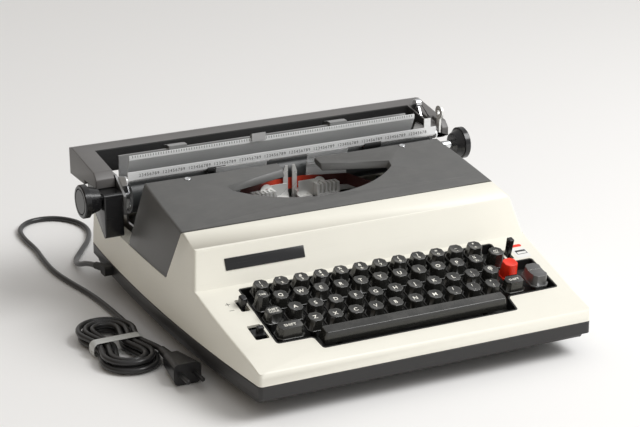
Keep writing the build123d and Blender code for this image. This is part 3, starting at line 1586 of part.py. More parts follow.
# Margin stops on their rail
stop_width = 18.0
stop_x = (-92.0, 75.0)
for name, stop_middle in zip(("margin_stop_left", "margin_stop_right"), stop_x):
    with BuildPart() as margin_stop:
        with BuildSketch(Plane.YZ.offset(stop_middle - stop_width / 2)):
            with BuildLine():
                Polyline(
                    (margin_rail_y - 4, 124), (margin_rail_y + 12, 124), (margin_rail_y + 14, 128),
                    (margin_rail_y + 12, 134), (margin_rail_y + 2, 137), (margin_rail_y - 4, 137),
                    close=True,
                )
            make_face()
            with Locations((margin_rail_y, 120)):
                Rectangle(
                    2.0 + 2 * running_fit, 2 * (margin_rail_top + running_fit - 120),
                    mode=Mode.SUBTRACT,
                )
        extrude(amount=stop_width)
    margin_stop.part.label = name
    export_step(margin_stop.part, f"parts/{name}.step")

# Paper guide: a small fin that slides along the rear scale
fin_x = -19.0
fin_width = 14.0
with BuildPart() as paper_guide:
    with BuildSketch(Plane.YZ.offset(fin_x - fin_width / 2)):
        with BuildLine():
            Polyline(
                (rear_scale_y - 3, rear_scale_top - 2.5), (rear_scale_y - 2.2, rear_scale_top + 5.0),
                (rear_scale_y + 2.2, rear_scale_top + 3.0), (rear_scale_y + 2.2, rear_scale_top - 2.5),
                close=True,
            )
        make_face()
        with Locations((rear_scale_y, rear_scale_top - 5)):
            Rectangle(1.2 + 2 * running_fit, 10 + 2 * running_fit, mode=Mode.SUBTRACT)
    extrude(amount=fin_width)
paper_guide.part.label = "paper_guide"
export_step(paper_guide.part, "parts/paper_guide.step")

# Cord: free stretch, hank, tie, plug and the strain relief it leaves the base by
cord_points = (
    (-166.5, 152.0, 21.0), (-168.0, 172.0, 17.0), (-169.0, 195.0, 7.5), (-164.0, 219.0, cord_lie),
    (-148.0, 243.0, cord_lie), (-131.0, 268.0, cord_lie), (-120.0, 296.0, cord_lie),
    (-122.0, 324.0, cord_lie), (-139.0, 346.0, cord_lie), (-166.0, 348.0, cord_lie),
    (-184.0, 328.0, cord_lie), (-188.0, 299.0, cord_lie), (-187.0, 266.0, cord_lie),
    (-191.0, 232.0, cord_lie), (-192.5, 197.0, cord_lie), (-188.0, 163.0, cord_lie),
    (-182.0, 130.0, cord_lie), (-180.2, 97.0, 3.4), (-180.0, 62.0, hank_level),
    (hank_x + hank_bow, hank_y + hank_side + 2 * cord_radius, hank_level),
)


def corner_radii(points):
    """Bend radius at each inner point: 0.45 of the shorter run over the half turn."""
    radii = []
    for before, here, after in zip(points, points[1:], points[2:]):
        run_in = Vector(*here) - Vector(*before)
        run_out = Vector(*after) - Vector(*here)
        half_turn = radians(run_in.get_angle(run_out)) / 2
        radii.append(0.45 * min(run_in.length, run_out.length) / tan(half_turn))
    return radii


cord_radii = corner_radii(cord_points)
print("cord radii", [round(radius, 1) for radius in cord_radii])
with BuildPart() as power_cord:
    with BuildLine() as cord_line:
        FilletPolyline(*cord_points, radius=cord_radii)
    cord_start = Vector(*cord_points[0])
    cord_heading = (Vector(*cord_points[1]) - cord_start).normalized()
    with BuildSketch(Plane(origin=cord_start, z_dir=cord_heading)):
        Circle(cord_radius)
    sweep(path=cord_line.wires()[0])
power_cord.part.label = "power_cord"
export_step(power_cord.part, "parts/power_cord.step")
cord_length = cord_line.wires()[0].length
print("free cord", round(cord_length, 1), "volume ratio",
      round(power_cord.part.volume / (pi * cord_radius ** 2 * cord_length), 4))


def hank_point(station):
    """Place and heading of the hank's line at one station, eight to a loop."""
    reversal = hank_stations * hank_inner_turns - 1
    climb_end = reversal + 2
    nest = hank_pitch * (min(station, reversal + 1) + 1) / hank_stations
    if station > reversal + 1:
        nest -= hank_pitch * (station - reversal - 1) / hank_stations
    level = hank_level
    if station >= climb_end:
        level += hank_layer
    elif station > reversal:
        level += hank_layer / 2
    end = hank_side + hank_bow - nest
    bow = hank_bow - nest
    waist = hank_waist - nest
    places = (
        ((0, waist), (1, 0)), ((hank_side, bow), (1, 0)), ((end, 0), (0, -1)),
        ((hank_side, -bow), (-1, 0)), ((0, -waist), (-1, 0)), ((-hank_side, -bow), (-1, 0)),
        ((-end, 0), (0, 1)), ((-hank_side, bow), (1, 0)),
    )
    (along, across), (way, sideways) = places[station % hank_stations]
    climb = hank_layer / (2 * hank_side) if reversal < station < climb_end else 0
    place = Vector(hank_x + across, hank_y - along, level)
    return place, Vector(sideways, -way, climb).normalized()


def biarc(start, start_heading, end, end_heading):
    """Two tangent arcs between two places with given headings."""
    chord = end - start
    total = start_heading + end_heading
    square = 2 * (1 - start_heading.dot(end_heading))
    reach = chord.dot(chord) / (2 * chord.dot(total))
    if square > 1e-9:
        slope = chord.dot(total)
        reach = (-slope + (slope ** 2 + square * chord.dot(chord)) ** 0.5) / square
    middle = (start + end + (start_heading - end_heading) * reach) / 2
    middle_heading = (end - end_heading * reach - start - start_heading * reach).normalized()
    TangentArc(start, middle, tangent=start_heading)
    TangentArc(middle, end, tangent=middle_heading)


hank_last = hank_stations * (2 * hank_inner_turns) + 1
with BuildPart() as cord_hank:
    with BuildLine() as hank_line:
        first, first_heading = hank_point(-1)
        start_straight = first - first_heading * 2 * cord_radius
        Line(start_straight, first)
        station = -1
        while station < hank_last:
            here, heading = hank_point(station)
            there, next_heading = hank_point(station + 1)
            biarc(here, heading, there, next_heading)
            station += 1
        last, last_heading = hank_point(int(hank_last))
        Line(last, last + last_heading * 2 * cord_radius)
    with BuildSketch(Plane(origin=start_straight, z_dir=first_heading)):
        Circle(cord_radius)
    sweep(path=hank_line.wires()[0])
cord_hank.part.label = "cord_hank"
export_step(cord_hank.part, "parts/cord_hank.step")
hank_length = hank_line.wires()[0].length
print("hank", round(hank_length, 1), "volume ratio",
      round(cord_hank.part.volume / (pi * cord_radius ** 2 * hank_length), 4))

# Least clear gap between neighbouring turns of the hank, measured on points along its line
hank_samples = []
for edge in hank_line.wires()[0].edges():
    for share in (0, 0.25, 0.5, 0.75):
        hank_samples.append(edge.position_at(share))
least_gap = 1000.0
for index, point in enumerate(hank_samples):
    for other in hank_samples[index + 7:]:
        least_gap = min(least_gap, (other - point).length - 2 * cord_radius)
print("least gap in the hank", round(least_gap, 2))

# Strap round the waist of the hank
tie_wall = 1.2
tie_width = 11.0
tie_gap = 0.3
tie_half = hank_waist + cord_radius + tie_gap
tie_bottom = hank_level - cord_radius - tie_gap - tie_wall
tie_top = hank_level + hank_layer + cord_radius + tie_gap + tie_wall
with BuildPart() as cord_tie:
    with BuildSketch(Plane.XZ.offset(-hank_y - tie_width / 2)):
        with Locations((hank_x, (tie_bottom + tie_top) / 2)):
            RectangleRounded(2 * (tie_half + tie_wall), tie_top - tie_bottom, 3.0)
            RectangleRounded(2 * tie_half, tie_top - tie_bottom - 2 * tie_wall, 2.0, mode=Mode.SUBTRACT)
    extrude(amount=tie_width)
cord_tie.part.label = "cord_tie"
export_step(cord_tie.part, "parts/cord_tie.step")

# Two-pin plug on the end of the hank, lying on the floor
plug_entry, plug_heading = hank_point(int(hank_last))
plug_entry = plug_entry + plug_heading * 2 * cord_radius
plug_plane = Plane(origin=plug_entry, x_dir=(1, 0, 0), z_dir=plug_heading)
sleeve_length = 22.0
pin_radius = 2.0
pin_length = 18.0
pin_spacing = 13.0
with BuildPart() as power_plug:
    with BuildSketch(plug_plane):
        Circle(cord_radius + 1.2)
    with BuildSketch(plug_plane.offset(sleeve_length)):
        Circle(cord_radius + 2.6)
    loft()
    with BuildSketch(plug_plane.offset(sleeve_length)):
        RectangleRounded(16, 14, 4)
    with BuildSketch(plug_plane.offset(sleeve_length + plug_length)):
        RectangleRounded(2 * plug_radius + 6, 2 * plug_radius, 5)
    loft()
    with BuildSketch(plug_plane.offset(sleeve_length + plug_length)):
        with Locations((-pin_spacing / 2, 0), (pin_spacing / 2, 0)):
            Circle(pin_radius)
    extrude(amount=pin_length)
    chamfer(power_plug.edges().group_by(Axis.Y)[0], 0.8)
power_plug.part.label = "power_plug"
export_step(power_plug.part, "parts/power_plug.step")

# Strain relief: a block through the side of the base with a tapered sleeve towards the back
relief_length = 24.0
relief_root = cord_start - cord_heading * relief_length
with BuildPart() as strain_relief:
    with BuildSketch(Plane(origin=relief_root, z_dir=cord_heading)):
        Circle(cord_radius + 1.6)
    with BuildSketch(Plane(origin=cord_start, z_dir=cord_heading)):
        Circle(cord_radius + 0.9)
    loft()
    with BuildSketch(Plane.YZ.offset(relief_outer_x)):
        with Locations((relief_y, relief_z)):
            RectangleRounded(relief_block_length, relief_block_height, relief_block_round)
    extrude(amount=relief_inner_x - relief_outer_x)
strain_relief.part.label = "strain_relief"
export_step(strain_relief.part, "parts/strain_relief.step")
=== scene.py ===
import json
from math import atan2, cos, hypot, pi, radians, sin

import bmesh
import bpy
from mathutils import Matrix, Vector


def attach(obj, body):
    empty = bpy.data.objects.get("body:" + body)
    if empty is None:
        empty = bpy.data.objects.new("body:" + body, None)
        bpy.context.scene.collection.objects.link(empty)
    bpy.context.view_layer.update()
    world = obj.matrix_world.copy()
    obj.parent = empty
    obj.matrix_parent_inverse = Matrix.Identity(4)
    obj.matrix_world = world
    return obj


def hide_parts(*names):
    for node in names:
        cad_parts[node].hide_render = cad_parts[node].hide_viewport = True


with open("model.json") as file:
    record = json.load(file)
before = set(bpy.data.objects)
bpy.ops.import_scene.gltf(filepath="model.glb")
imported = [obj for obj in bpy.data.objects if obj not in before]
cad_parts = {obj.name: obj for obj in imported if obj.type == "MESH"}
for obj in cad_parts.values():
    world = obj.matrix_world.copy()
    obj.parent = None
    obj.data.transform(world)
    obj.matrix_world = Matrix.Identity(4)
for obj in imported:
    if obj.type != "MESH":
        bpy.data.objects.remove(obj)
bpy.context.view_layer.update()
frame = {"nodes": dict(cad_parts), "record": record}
nodes = frame["nodes"]
scene = bpy.context.scene
scene.view_settings.view_transform = "Standard"
print("stage: frame loaded,", len(nodes), "nodes")

# Camera, as a place in metres, three angles in degrees, and lens and film in millimetres
cameraView = {
    "place": (-0.811, -1.604, 0.730),
    "azimuth": 26.62,
    "down": 19.476,
    "roll": 0.020856,
    "lens": 118.77,
    "film": 36,
    "farthest": 60,
}


def makeCamera(view):
    turn, drop, roll = (radians(view[title]) for title in ("azimuth", "down", "roll"))
    ahead = Vector((sin(turn) * cos(drop), cos(turn) * cos(drop), -sin(drop)))
    right = Vector((cos(turn), -sin(turn), 0))
    below = ahead.cross(right)
    across = right * cos(roll) + below * sin(roll)
    under = below * cos(roll) - right * sin(roll)
    lens = bpy.data.cameras.new("camera")
    lens.lens = view["lens"]
    lens.sensor_width = view["film"]
    lens.clip_end = view["farthest"]
    camera = bpy.data.objects.new("camera", lens)
    scene.collection.objects.link(camera)
    turned = Matrix((across, -under, -ahead)).transposed().to_4x4()
    turned.translation = Vector(view["place"])
    camera.matrix_world = turned
    scene.camera = camera


makeCamera(cameraView)


# Small helpers for node trees

def addNode(tree, kind, place, **settings):
    node = tree.nodes.new(kind)
    node.location = place
    for name, value in settings.items():
        setattr(node, name, value)
    return node


def newGroup(name, inputs, outputs):
    group = bpy.data.node_groups.new(name, "ShaderNodeTree")
    for title, kind, value in inputs:
        socket = group.interface.new_socket(title, in_out="INPUT", socket_type=kind)
        socket.default_value = value
    for title, kind in outputs:
        group.interface.new_socket(title, in_out="OUTPUT", socket_type=kind)
    start = addNode(group, "NodeGroupInput", (-900, 0))
    end = addNode(group, "NodeGroupOutput", (700, 0))
    return group, start, end


def mathNode(tree, place, operation, first, second=None, clamp=False):
    node = addNode(tree, "ShaderNodeMath", place, operation=operation, use_clamp=clamp)
    for index, value in enumerate((first, second)):
        if value is None:
            continue
        if isinstance(value, (int, float)):
            node.inputs[index].default_value = value
        else:
            tree.links.new(value, node.inputs[index])
    return node.outputs[0]


def mixColour(tree, place, factor, first, second):
    node = addNode(tree, "ShaderNodeMix", place, data_type="RGBA")
    for index, value in ((0, factor), (6, first), (7, second)):
        if isinstance(value, (int, float)):
            node.inputs[index].default_value = value
        elif isinstance(value, tuple):
            node.inputs[index].default_value = (*value, 1.0)
        else:
            tree.links.new(value, node.inputs[index])
    return node.outputs[2]


# Fine moulded grain, with a broad uneven tone below it
grainLook = {"fineDetail": 3.0, "broadScale": 22.0, "broadDetail": 5.0}


def makeSurfaceGrain(look):
    group, start, end = newGroup(
        "surfaceGrain",
        [
            ("Color", "NodeSocketColor", (0.5, 0.5, 0.5, 1.0)),
            ("Scale", "NodeSocketFloat", 900.0),
            ("Mottle", "NodeSocketFloat", 0.06),
            ("Roughness", "NodeSocketFloat", 0.45),
            ("Uneven", "NodeSocketFloat", 0.12),
        ],
        [
            ("Color", "NodeSocketColor"),
            ("Roughness", "NodeSocketFloat"),
            ("Height", "NodeSocketFloat"),
        ],
    )
    link = group.links.new
    place = addNode(group, "ShaderNodeTexCoord", (-1100, -300))
    fine = addNode(group, "ShaderNodeTexNoise", (-600, -300))
    fine.inputs["Detail"].default_value = look["fineDetail"]
    link(place.outputs["Object"], fine.inputs["Vector"])
    link(start.outputs["Scale"], fine.inputs["Scale"])
    broad = addNode(group, "ShaderNodeTexNoise", (-600, 100))
    broad.inputs["Scale"].default_value = look["broadScale"]
    broad.inputs["Detail"].default_value = look["broadDetail"]
    link(place.outputs["Object"], broad.inputs["Vector"])
    tone = mathNode(group, (-350, 100), "SUBTRACT", broad.outputs["Fac"], 0.5)
    shade = mathNode(group, (-180, 100), "MULTIPLY", tone, start.outputs["Mottle"])
    bright = mathNode(group, (-20, 100), "ADD", shade, 1.0)
    light = addNode(group, "ShaderNodeVectorMath", (200, 150), operation="SCALE")
    link(start.outputs["Color"], light.inputs[0])
    link(bright, light.inputs["Scale"])
    link(light.outputs[0], end.inputs["Color"])
    wave = mathNode(group, (-180, -100), "MULTIPLY", tone, start.outputs["Uneven"])
    rough = mathNode(group, (0, -100), "ADD", wave, start.outputs["Roughness"], True)
    link(rough, end.inputs["Roughness"])
    link(fine.outputs["Fac"], end.inputs["Height"])
    return group


# Dust that lies on faces that look up, in patches from thin to thick
dustLook = {"steep": 4.0, "detail": 8.0, "rough": 0.7, "thin": 0.42, "thick": 0.68}


def makeDustOnTop(look):
    group, start, end = newGroup(
        "dustOnTop",
        [("Amount", "NodeSocketFloat", 0.1), ("Scale", "NodeSocketFloat", 60.0)],
        [("Mask", "NodeSocketFloat")],
    )
    link = group.links.new
    place = addNode(group, "ShaderNodeTexCoord", (-1100, -200))
    split = addNode(group, "ShaderNodeSeparateXYZ", (-800, -200))
    link(place.outputs["Normal"], split.inputs[0])
    upward = mathNode(group, (-700, -350), "MAXIMUM", split.outputs[2], 0.0)
    flat = mathNode(group, (-600, -200), "POWER", upward, look["steep"])
    specks = addNode(group, "ShaderNodeTexNoise", (-600, 100))
    specks.inputs["Detail"].default_value = look["detail"]
    specks.inputs["Roughness"].default_value = look["rough"]
    link(place.outputs["Object"], specks.inputs["Vector"])
    link(start.outputs["Scale"], specks.inputs["Scale"])
    spread = addNode(group, "ShaderNodeMapRange", (-350, 100))
    spread.inputs["From Min"].default_value = look["thin"]
    spread.inputs["From Max"].default_value = look["thick"]
    link(specks.outputs["Fac"], spread.inputs["Value"])
    lying = mathNode(group, (-100, 0), "MULTIPLY", flat, spread.outputs[0])
    mask = mathNode(group, (100, 0), "MULTIPLY", lying, start.outputs["Amount"], True)
    link(mask, end.inputs["Mask"])
    return group


# Thin rubbed lines, long in one direction
scratchLook = {"turn": (0.3, 0.1, 0.5), "detail": 2.0, "fade": 0.08}


def makeScratches(look):
    group, start, end = newGroup(
        "scratches",
        [
            ("Amount", "NodeSocketFloat", 0.2),
            ("Stretch", "NodeSocketVector", (30.0, 900.0, 900.0)),
            ("Edge", "NodeSocketFloat", 0.62),
        ],
        [("Mask", "NodeSocketFloat")],
    )
    link = group.links.new
    place = addNode(group, "ShaderNodeTexCoord", (-1100, 0))
    turned = addNode(group, "ShaderNodeMapping", (-800, 0))
    turned.inputs["Rotation"].default_value = look["turn"]
    link(place.outputs["Object"], turned.inputs["Vector"])
    link(start.outputs["Stretch"], turned.inputs["Scale"])
    lines = addNode(group, "ShaderNodeTexNoise", (-550, 0))
    lines.inputs["Scale"].default_value = 1.0
    lines.inputs["Detail"].default_value = look["detail"]
    link(turned.outputs[0], lines.inputs["Vector"])
    sharp = addNode(group, "ShaderNodeMapRange", (-300, 0))
    link(start.outputs["Edge"], sharp.inputs["From Min"])
    full = mathNode(group, (-500, -250), "ADD", start.outputs["Edge"], look["fade"])
    link(full, sharp.inputs["From Max"])
    link(lines.outputs["Fac"], sharp.inputs["Value"])
    mask = mathNode(group, (0, 0), "MULTIPLY", sharp.outputs[0], start.outputs["Amount"], True)
    link(mask, end.inputs["Mask"])
    return group


surfaceGrain = makeSurfaceGrain(grainLook)
dustOnTop = makeDustOnTop(dustLook)
scratches = makeScratches(scratchLook)

# Finishes: colours are linear, sizes of patterns are per metre, bump is in metres
finishes = {
    "creamShell": {"color": (0.83, 0.81, 0.72), "rough": 0.40, "grain": 1500, "bump": 0.00003,
                   "mottle": 0.05, "dust": 0.05, "dustColor": (0.55, 0.52, 0.45), "scratch": 0.10,
                   "rub": (0.70, 0.68, 0.60)},
    "rearGrey": {"color": (0.125, 0.120, 0.117), "rough": 0.40, "grain": 1900, "bump": 0.00004,
                 "mottle": 0.12, "dust": 0.10, "dustColor": (0.32, 0.31, 0.29), "scratch": 0.10,
                 "rub": (0.22, 0.22, 0.21)},
    "scaleMetal": {"color": (0.80, 0.81, 0.81), "rough": 0.34, "metal": 0.25, "grain": 2200,
                   "bump": 0.00002, "mottle": 0.08, "dust": 0.05, "dustColor": (0.4, 0.38, 0.35),
                   "scratch": 0.2, "rub": (0.7, 0.7, 0.7)},
    "greyCover": {"color": (0.092, 0.092, 0.089), "rough": 0.38, "grain": 1900, "bump": 0.00004,
                  "mottle": 0.12, "dust": 0.10, "dustColor": (0.32, 0.31, 0.29), "scratch": 0.10,
                  "rub": (0.26, 0.26, 0.25)},
    "baseGrey": {"color": (0.022, 0.021, 0.021), "rough": 0.40, "grain": 1300, "bump": 0.00006,
                 "mottle": 0.2, "dust": 0.08, "dustColor": (0.16, 0.15, 0.14), "scratch": 0.14,
                 "rub": (0.07, 0.07, 0.06)},
    "keyBlack": {"color": (0.020, 0.020, 0.018), "rough": 0.24, "coat": 0.35, "grain": 2600,
                 "bump": 0.00002, "mottle": 0.30, "dust": 0.16, "dustColor": (0.25, 0.24, 0.22),
                 "scratch": 0.25, "rub": (0.07, 0.07, 0.07)},
    "keyGrey": {"color": (0.105, 0.105, 0.105), "rough": 0.30, "grain": 2600, "bump": 0.00002,
                "mottle": 0.25, "dust": 0.12, "dustColor": (0.25, 0.24, 0.22), "scratch": 0.2,
                "rub": (0.10, 0.10, 0.10)},
    "keyRed": {"color": (0.85, 0.030, 0.008), "rough": 0.30, "grain": 2600, "bump": 0.00002,
               "mottle": 0.10, "dust": 0.05, "dustColor": (0.75, 0.22, 0.15), "scratch": 0.15,
               "rub": (0.70, 0.06, 0.03)},
    "bezelBlack": {"color": (0.012, 0.012, 0.012), "rough": 0.55, "grain": 1500, "bump": 0.00006,
                   "mottle": 0.30, "dust": 0.30, "dustColor": (0.10, 0.10, 0.09), "scratch": 0.1,
                   "rub": (0.05, 0.05, 0.05)},
    "glossBlack": {"color": (0.010, 0.010, 0.011), "rough": 0.20, "grain": 900, "bump": 0.00002,
                   "mottle": 0.30, "dust": 0.10, "dustColor": (0.20, 0.20, 0.19), "scratch": 0.25,
                   "rub": (0.05, 0.05, 0.05)},
    "platenRubber": {"color": (0.030, 0.033, 0.034), "rough": 0.36, "grain": 2400, "bump": 0.00005,
                     "mottle": 0.35, "dust": 0.10, "dustColor": (0.14, 0.14, 0.14), "scratch": 0.15,
                     "rub": (0.07, 0.07, 0.07)},
    "softRubber": {"color": (0.012, 0.012, 0.012), "rough": 0.62, "grain": 1800, "bump": 0.00008,
                   "mottle": 0.30, "dust": 0.20, "dustColor": (0.12, 0.12, 0.11), "scratch": 0.1,
                   "rub": (0.04, 0.04, 0.04)},
    "steel": {"color": (0.48, 0.48, 0.48), "rough": 0.34, "metal": 1.0, "grain": 2200, "bump": 0.00003,
              "mottle": 0.20, "dust": 0.10, "dustColor": (0.22, 0.20, 0.17), "scratch": 0.35,
              "rub": (0.70, 0.70, 0.70)},
    "whiteMetal": {"color": (0.86, 0.86, 0.84), "rough": 0.28, "metal": 0.35, "grain": 2200,
                   "bump": 0.00003, "mottle": 0.14, "dust": 0.08, "dustColor": (0.3, 0.28, 0.25),
                   "scratch": 0.3, "rub": (0.85, 0.85, 0.84)},
    "chrome": {"color": (0.74, 0.75, 0.76), "rough": 0.14, "metal": 1.0, "grain": 1200, "bump": 0.00001,
               "mottle": 0.10, "dust": 0.06, "dustColor": (0.3, 0.28, 0.25), "scratch": 0.25,
               "rub": (0.6, 0.6, 0.6)},
    "motorPaint": {"color": (0.045, 0.052, 0.058), "rough": 0.44, "grain": 1100, "bump": 0.00008,
                   "mottle": 0.30, "dust": 0.25, "dustColor": (0.2, 0.18, 0.15), "scratch": 0.3,
                   "rub": (0.2, 0.2, 0.2)},
    "beltRubber": {"color": (0.020, 0.019, 0.018), "rough": 0.66, "grain": 1500, "bump": 0.0001,
                   "mottle": 0.30, "dust": 0.15, "dustColor": (0.12, 0.11, 0.10), "scratch": 0.2,
                   "rub": (0.07, 0.07, 0.06)},
    "cordVinyl": {"color": (0.020, 0.020, 0.021), "rough": 0.30, "grain": 1600, "bump": 0.00003,
                  "mottle": 0.25, "dust": 0.14, "dustColor": (0.20, 0.19, 0.18), "scratch": 0.2,
                  "rub": (0.06, 0.06, 0.06)},
    "tiePlastic": {"color": (0.55, 0.56, 0.54), "rough": 0.38, "grain": 1200, "bump": 0.00003,
                   "mottle": 0.15, "dust": 0.10, "dustColor": (0.4, 0.38, 0.34), "scratch": 0.2,
                   "rub": (0.7, 0.7, 0.68)},
    "legendCream": {"color": (0.95, 0.93, 0.84), "rough": 0.45, "grain": 2500, "bump": 0.00001,
                    "mottle": 0.25, "dust": 0.05, "dustColor": (0.3, 0.3, 0.3), "scratch": 0.3,
                    "rub": (0.35, 0.34, 0.30)},
    "markBlack": {"color": (0.016, 0.016, 0.017), "rough": 0.50, "grain": 2500, "bump": 0.00001,
                  "mottle": 0.25, "dust": 0.05, "dustColor": (0.2, 0.2, 0.2), "scratch": 0.3,
                  "rub": (0.12, 0.12, 0.12)},
    "markWhite": {"color": (0.80, 0.80, 0.78), "rough": 0.45, "grain": 2500, "bump": 0.00001,
                  "mottle": 0.10, "dust": 0.05, "dustColor": (0.5, 0.5, 0.5), "scratch": 0.2,
                  "rub": (0.55, 0.55, 0.52)},
}


# How much duller dust makes a surface, and how strong the grain's bump is
wear = {"dustDull": 0.6, "bumpStrength": 0.5}


def makeFinish(name, spec):
    material = bpy.data.materials.new(name)
    material.use_nodes = True
    tree = material.node_tree
    shader = tree.nodes["Principled BSDF"]
    link = tree.links.new
    grain = addNode(tree, "ShaderNodeGroup", (-900, 100), node_tree=surfaceGrain)
    grain.inputs["Color"].default_value = (*spec["color"], 1.0)
    grain.inputs["Scale"].default_value = spec["grain"]
    grain.inputs["Mottle"].default_value = spec["mottle"]
    grain.inputs["Roughness"].default_value = spec["rough"]
    rubbed = addNode(tree, "ShaderNodeGroup", (-900, -200), node_tree=scratches)
    rubbed.inputs["Amount"].default_value = spec["scratch"]
    dust = addNode(tree, "ShaderNodeGroup", (-900, -450), node_tree=dustOnTop)
    dust.inputs["Amount"].default_value = spec["dust"]
    worn = mixColour(tree, (-600, 0), rubbed.outputs[0], grain.outputs["Color"], spec["rub"])
    link(mixColour(tree, (-350, 0), dust.outputs[0], worn, spec["dustColor"]), shader.inputs["Base Color"])
    duller = mathNode(tree, (-500, -350), "MULTIPLY", dust.outputs[0], wear["dustDull"])
    rough = mathNode(tree, (-300, -350), "ADD", grain.outputs["Roughness"], duller, True)
    link(rough, shader.inputs["Roughness"])
    shader.inputs["Metallic"].default_value = spec.get("metal", 0.0)
    shader.inputs["Coat Weight"].default_value = spec.get("coat", 0.0)
    bump = addNode(tree, "ShaderNodeBump", (-300, -600))
    bump.inputs["Strength"].default_value = wear["bumpStrength"]
    bump.inputs["Distance"].default_value = spec["bump"]
    link(grain.outputs["Height"], bump.inputs["Height"])
    link(bump.outputs[0], shader.inputs["Normal"])
    return material


finish = {name: makeFinish(name, spec) for name, spec in finishes.items()}

# Inked cloth ribbon: red in the middle, where it lies open in the cover's notch, darker towards the spools,
# which is painted shade where it runs under the cover, with a fine weave
ribbonInkAndShade = {"openRed": (0.62, 0.045, 0.012), "shadedUnderCover": (0.060, 0.008, 0.006), "between": (0.02, 0.004, 0.003),
             "openShare": 0.35, "reach": 0.035, "bands": 1300 / 3, "uneven": 0.6, "shade": 0.25, "depth": 0.00005,
             "rough": 0.7}


def makeRibbonCloth(spec):
    material = bpy.data.materials.new("ribbonCloth")
    material.use_nodes = True
    tree = material.node_tree
    shader = tree.nodes["Principled BSDF"]
    link = tree.links.new
    place = addNode(tree, "ShaderNodeTexCoord", (-1300, 0))
    split = addNode(tree, "ShaderNodeSeparateXYZ", (-1100, 0))
    link(place.outputs["Object"], split.inputs[0])
    away = mathNode(tree, (-900, 100), "ABSOLUTE", split.outputs[0])
    shadeFade = addNode(tree, "ShaderNodeMapRange", (-700, 100), interpolation_type="SMOOTHSTEP")
    shadeFade.inputs["From Min"].default_value = spec["reach"] * spec["openShare"]
    shadeFade.inputs["From Max"].default_value = spec["reach"]
    link(away, shadeFade.inputs["Value"])
    weave = addNode(tree, "ShaderNodeTexWave", (-900, -200), wave_type="BANDS", bands_direction="DIAGONAL")
    weave.inputs["Scale"].default_value = spec["bands"]
    weave.inputs["Distortion"].default_value = spec["uneven"]
    link(place.outputs["Object"], weave.inputs["Vector"])
    # Painted shade: the red turns to the dark colour away from the middle, for the shade where the ribbon
    # runs under the cover
    inkAndShade = mixColour(tree, (-450, 100), shadeFade.outputs[0], spec["openRed"], spec["shadedUnderCover"])
    gaps = mathNode(tree, (-500, -150), "MULTIPLY", weave.outputs["Fac"], spec["shade"])
    link(mixColour(tree, (-250, 0), gaps, inkAndShade, spec["between"]), shader.inputs["Base Color"])
    shader.inputs["Roughness"].default_value = spec["rough"]
    bump = addNode(tree, "ShaderNodeBump", (-300, -400))
    bump.inputs["Distance"].default_value = spec["depth"]
    link(weave.outputs["Fac"], bump.inputs["Height"])
    link(bump.outputs[0], shader.inputs["Normal"])
    return material


finish["ribbonCloth"] = makeRibbonCloth(ribbonInkAndShade)

# Clear holders for cards and the line guide
clearPlastic = {"color": (0.95, 0.96, 0.96), "rough": 0.12, "clear": 0.72, "grain": 700, "scratch": 0.5,
                "dull": 0.3, "bending": 1.35}


def makeClearPlastic(spec):
    material = bpy.data.materials.new("clearPlastic")
    material.use_nodes = True
    tree = material.node_tree
    shader = tree.nodes["Principled BSDF"]
    link = tree.links.new
    grain = addNode(tree, "ShaderNodeGroup", (-800, 100), node_tree=surfaceGrain)
    grain.inputs["Scale"].default_value = spec["grain"]
    grain.inputs["Roughness"].default_value = spec["rough"]
    rubbed = addNode(tree, "ShaderNodeGroup", (-800, -200), node_tree=scratches)
    rubbed.inputs["Amount"].default_value = spec["scratch"]
    shader.inputs["Base Color"].default_value = (*spec["color"], 1.0)
    duller = mathNode(tree, (-600, -300), "MULTIPLY", rubbed.outputs[0], spec["dull"])
    rough = mathNode(tree, (-400, -100), "ADD", grain.outputs["Roughness"], duller, True)
    link(rough, shader.inputs["Roughness"])
    shader.inputs["Transmission Weight"].default_value = spec["clear"]
    shader.inputs["IOR"].default_value = spec["bending"]
    return material


finish["clearPlastic"] = makeClearPlastic(clearPlastic)
print("stage: finishes made,", len(finish))

# What each modelled node is finished in, where it isn't plain steel
nodeFinish = {
    "creamShell": ["top_housing"],
    "greyCover": ["ribbon_cover"],
    "rearGrey": ["rear_housing"],
    "scaleMetal": ["paper_table", "paper_bail", "typebars", "centre_typebar"],
    "baseGrey": ["base_tub"],
    "softRubber": ["rubber_feet", "bail_rollers", "strain_relief"],
    "bezelBlack": ["key_bezel", "power_switch"],
    "glossBlack": ["left_end_box", "platen_knobs", "name_plate", "power_lever", "touch_lever",
                   "ribbon_slider"],
    "keyBlack": ["keys_row_1", "keys_row_2", "keys_row_3", "keys_row_4", "centre_key", "tab_key",
                 "backspace_key", "shift_left", "shift_right", "shift_lock", "space_bar"],
    "keyGrey": ["return_key"],
    "keyRed": ["red_key"],
    "platenRubber": ["platen"],
    "motorPaint": ["motor"],
    "beltRubber": ["drive_belt"],
    "cordVinyl": ["power_plug"],
    "chrome": ["platen_shaft", "ratchet_wheel", "cover_screws", "lever_shaft", "paper_release_lever"],
    "whiteMetal": ["guide_plate", "ribbon_fork", "carriage_release_lever"],
    "ribbonCloth": ["ribbon"],
    "clearPlastic": ["card_holders"],
}


def dress(name, material):
    for place in nodes[name].material_slots:
        place.link = "OBJECT"
        place.material = material


for name in nodes:
    dress(name, finish["steel"])
for title, names in nodeFinish.items():
    for name in names:
        dress(name, finish[title])
print("stage: nodes dressed,", sum(len(names) for names in nodeFinish.values()), "in other than steel")


# Pieces of our own: linked at the origin, riding on a body
def settle(piece, body, slotName, *replaced):
    if piece.name not in scene.collection.objects:
        scene.collection.objects.link(piece)
    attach(piece, body)
    if replaced:
        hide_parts(*replaced)
    return piece


def meshOf(holder):
    return bpy.data.meshes.new_from_object(holder.evaluated_get(bpy.context.evaluated_depsgraph_get()))


def baked(piece):
    mesh = meshOf(piece)
    piece.modifiers.clear()
    piece.data = mesh
    return piece


def bodyOf(name):
    for body, members in frame["record"]["behaviour"]["bodies"].items():
        if name in members:
            return body
    return "root"


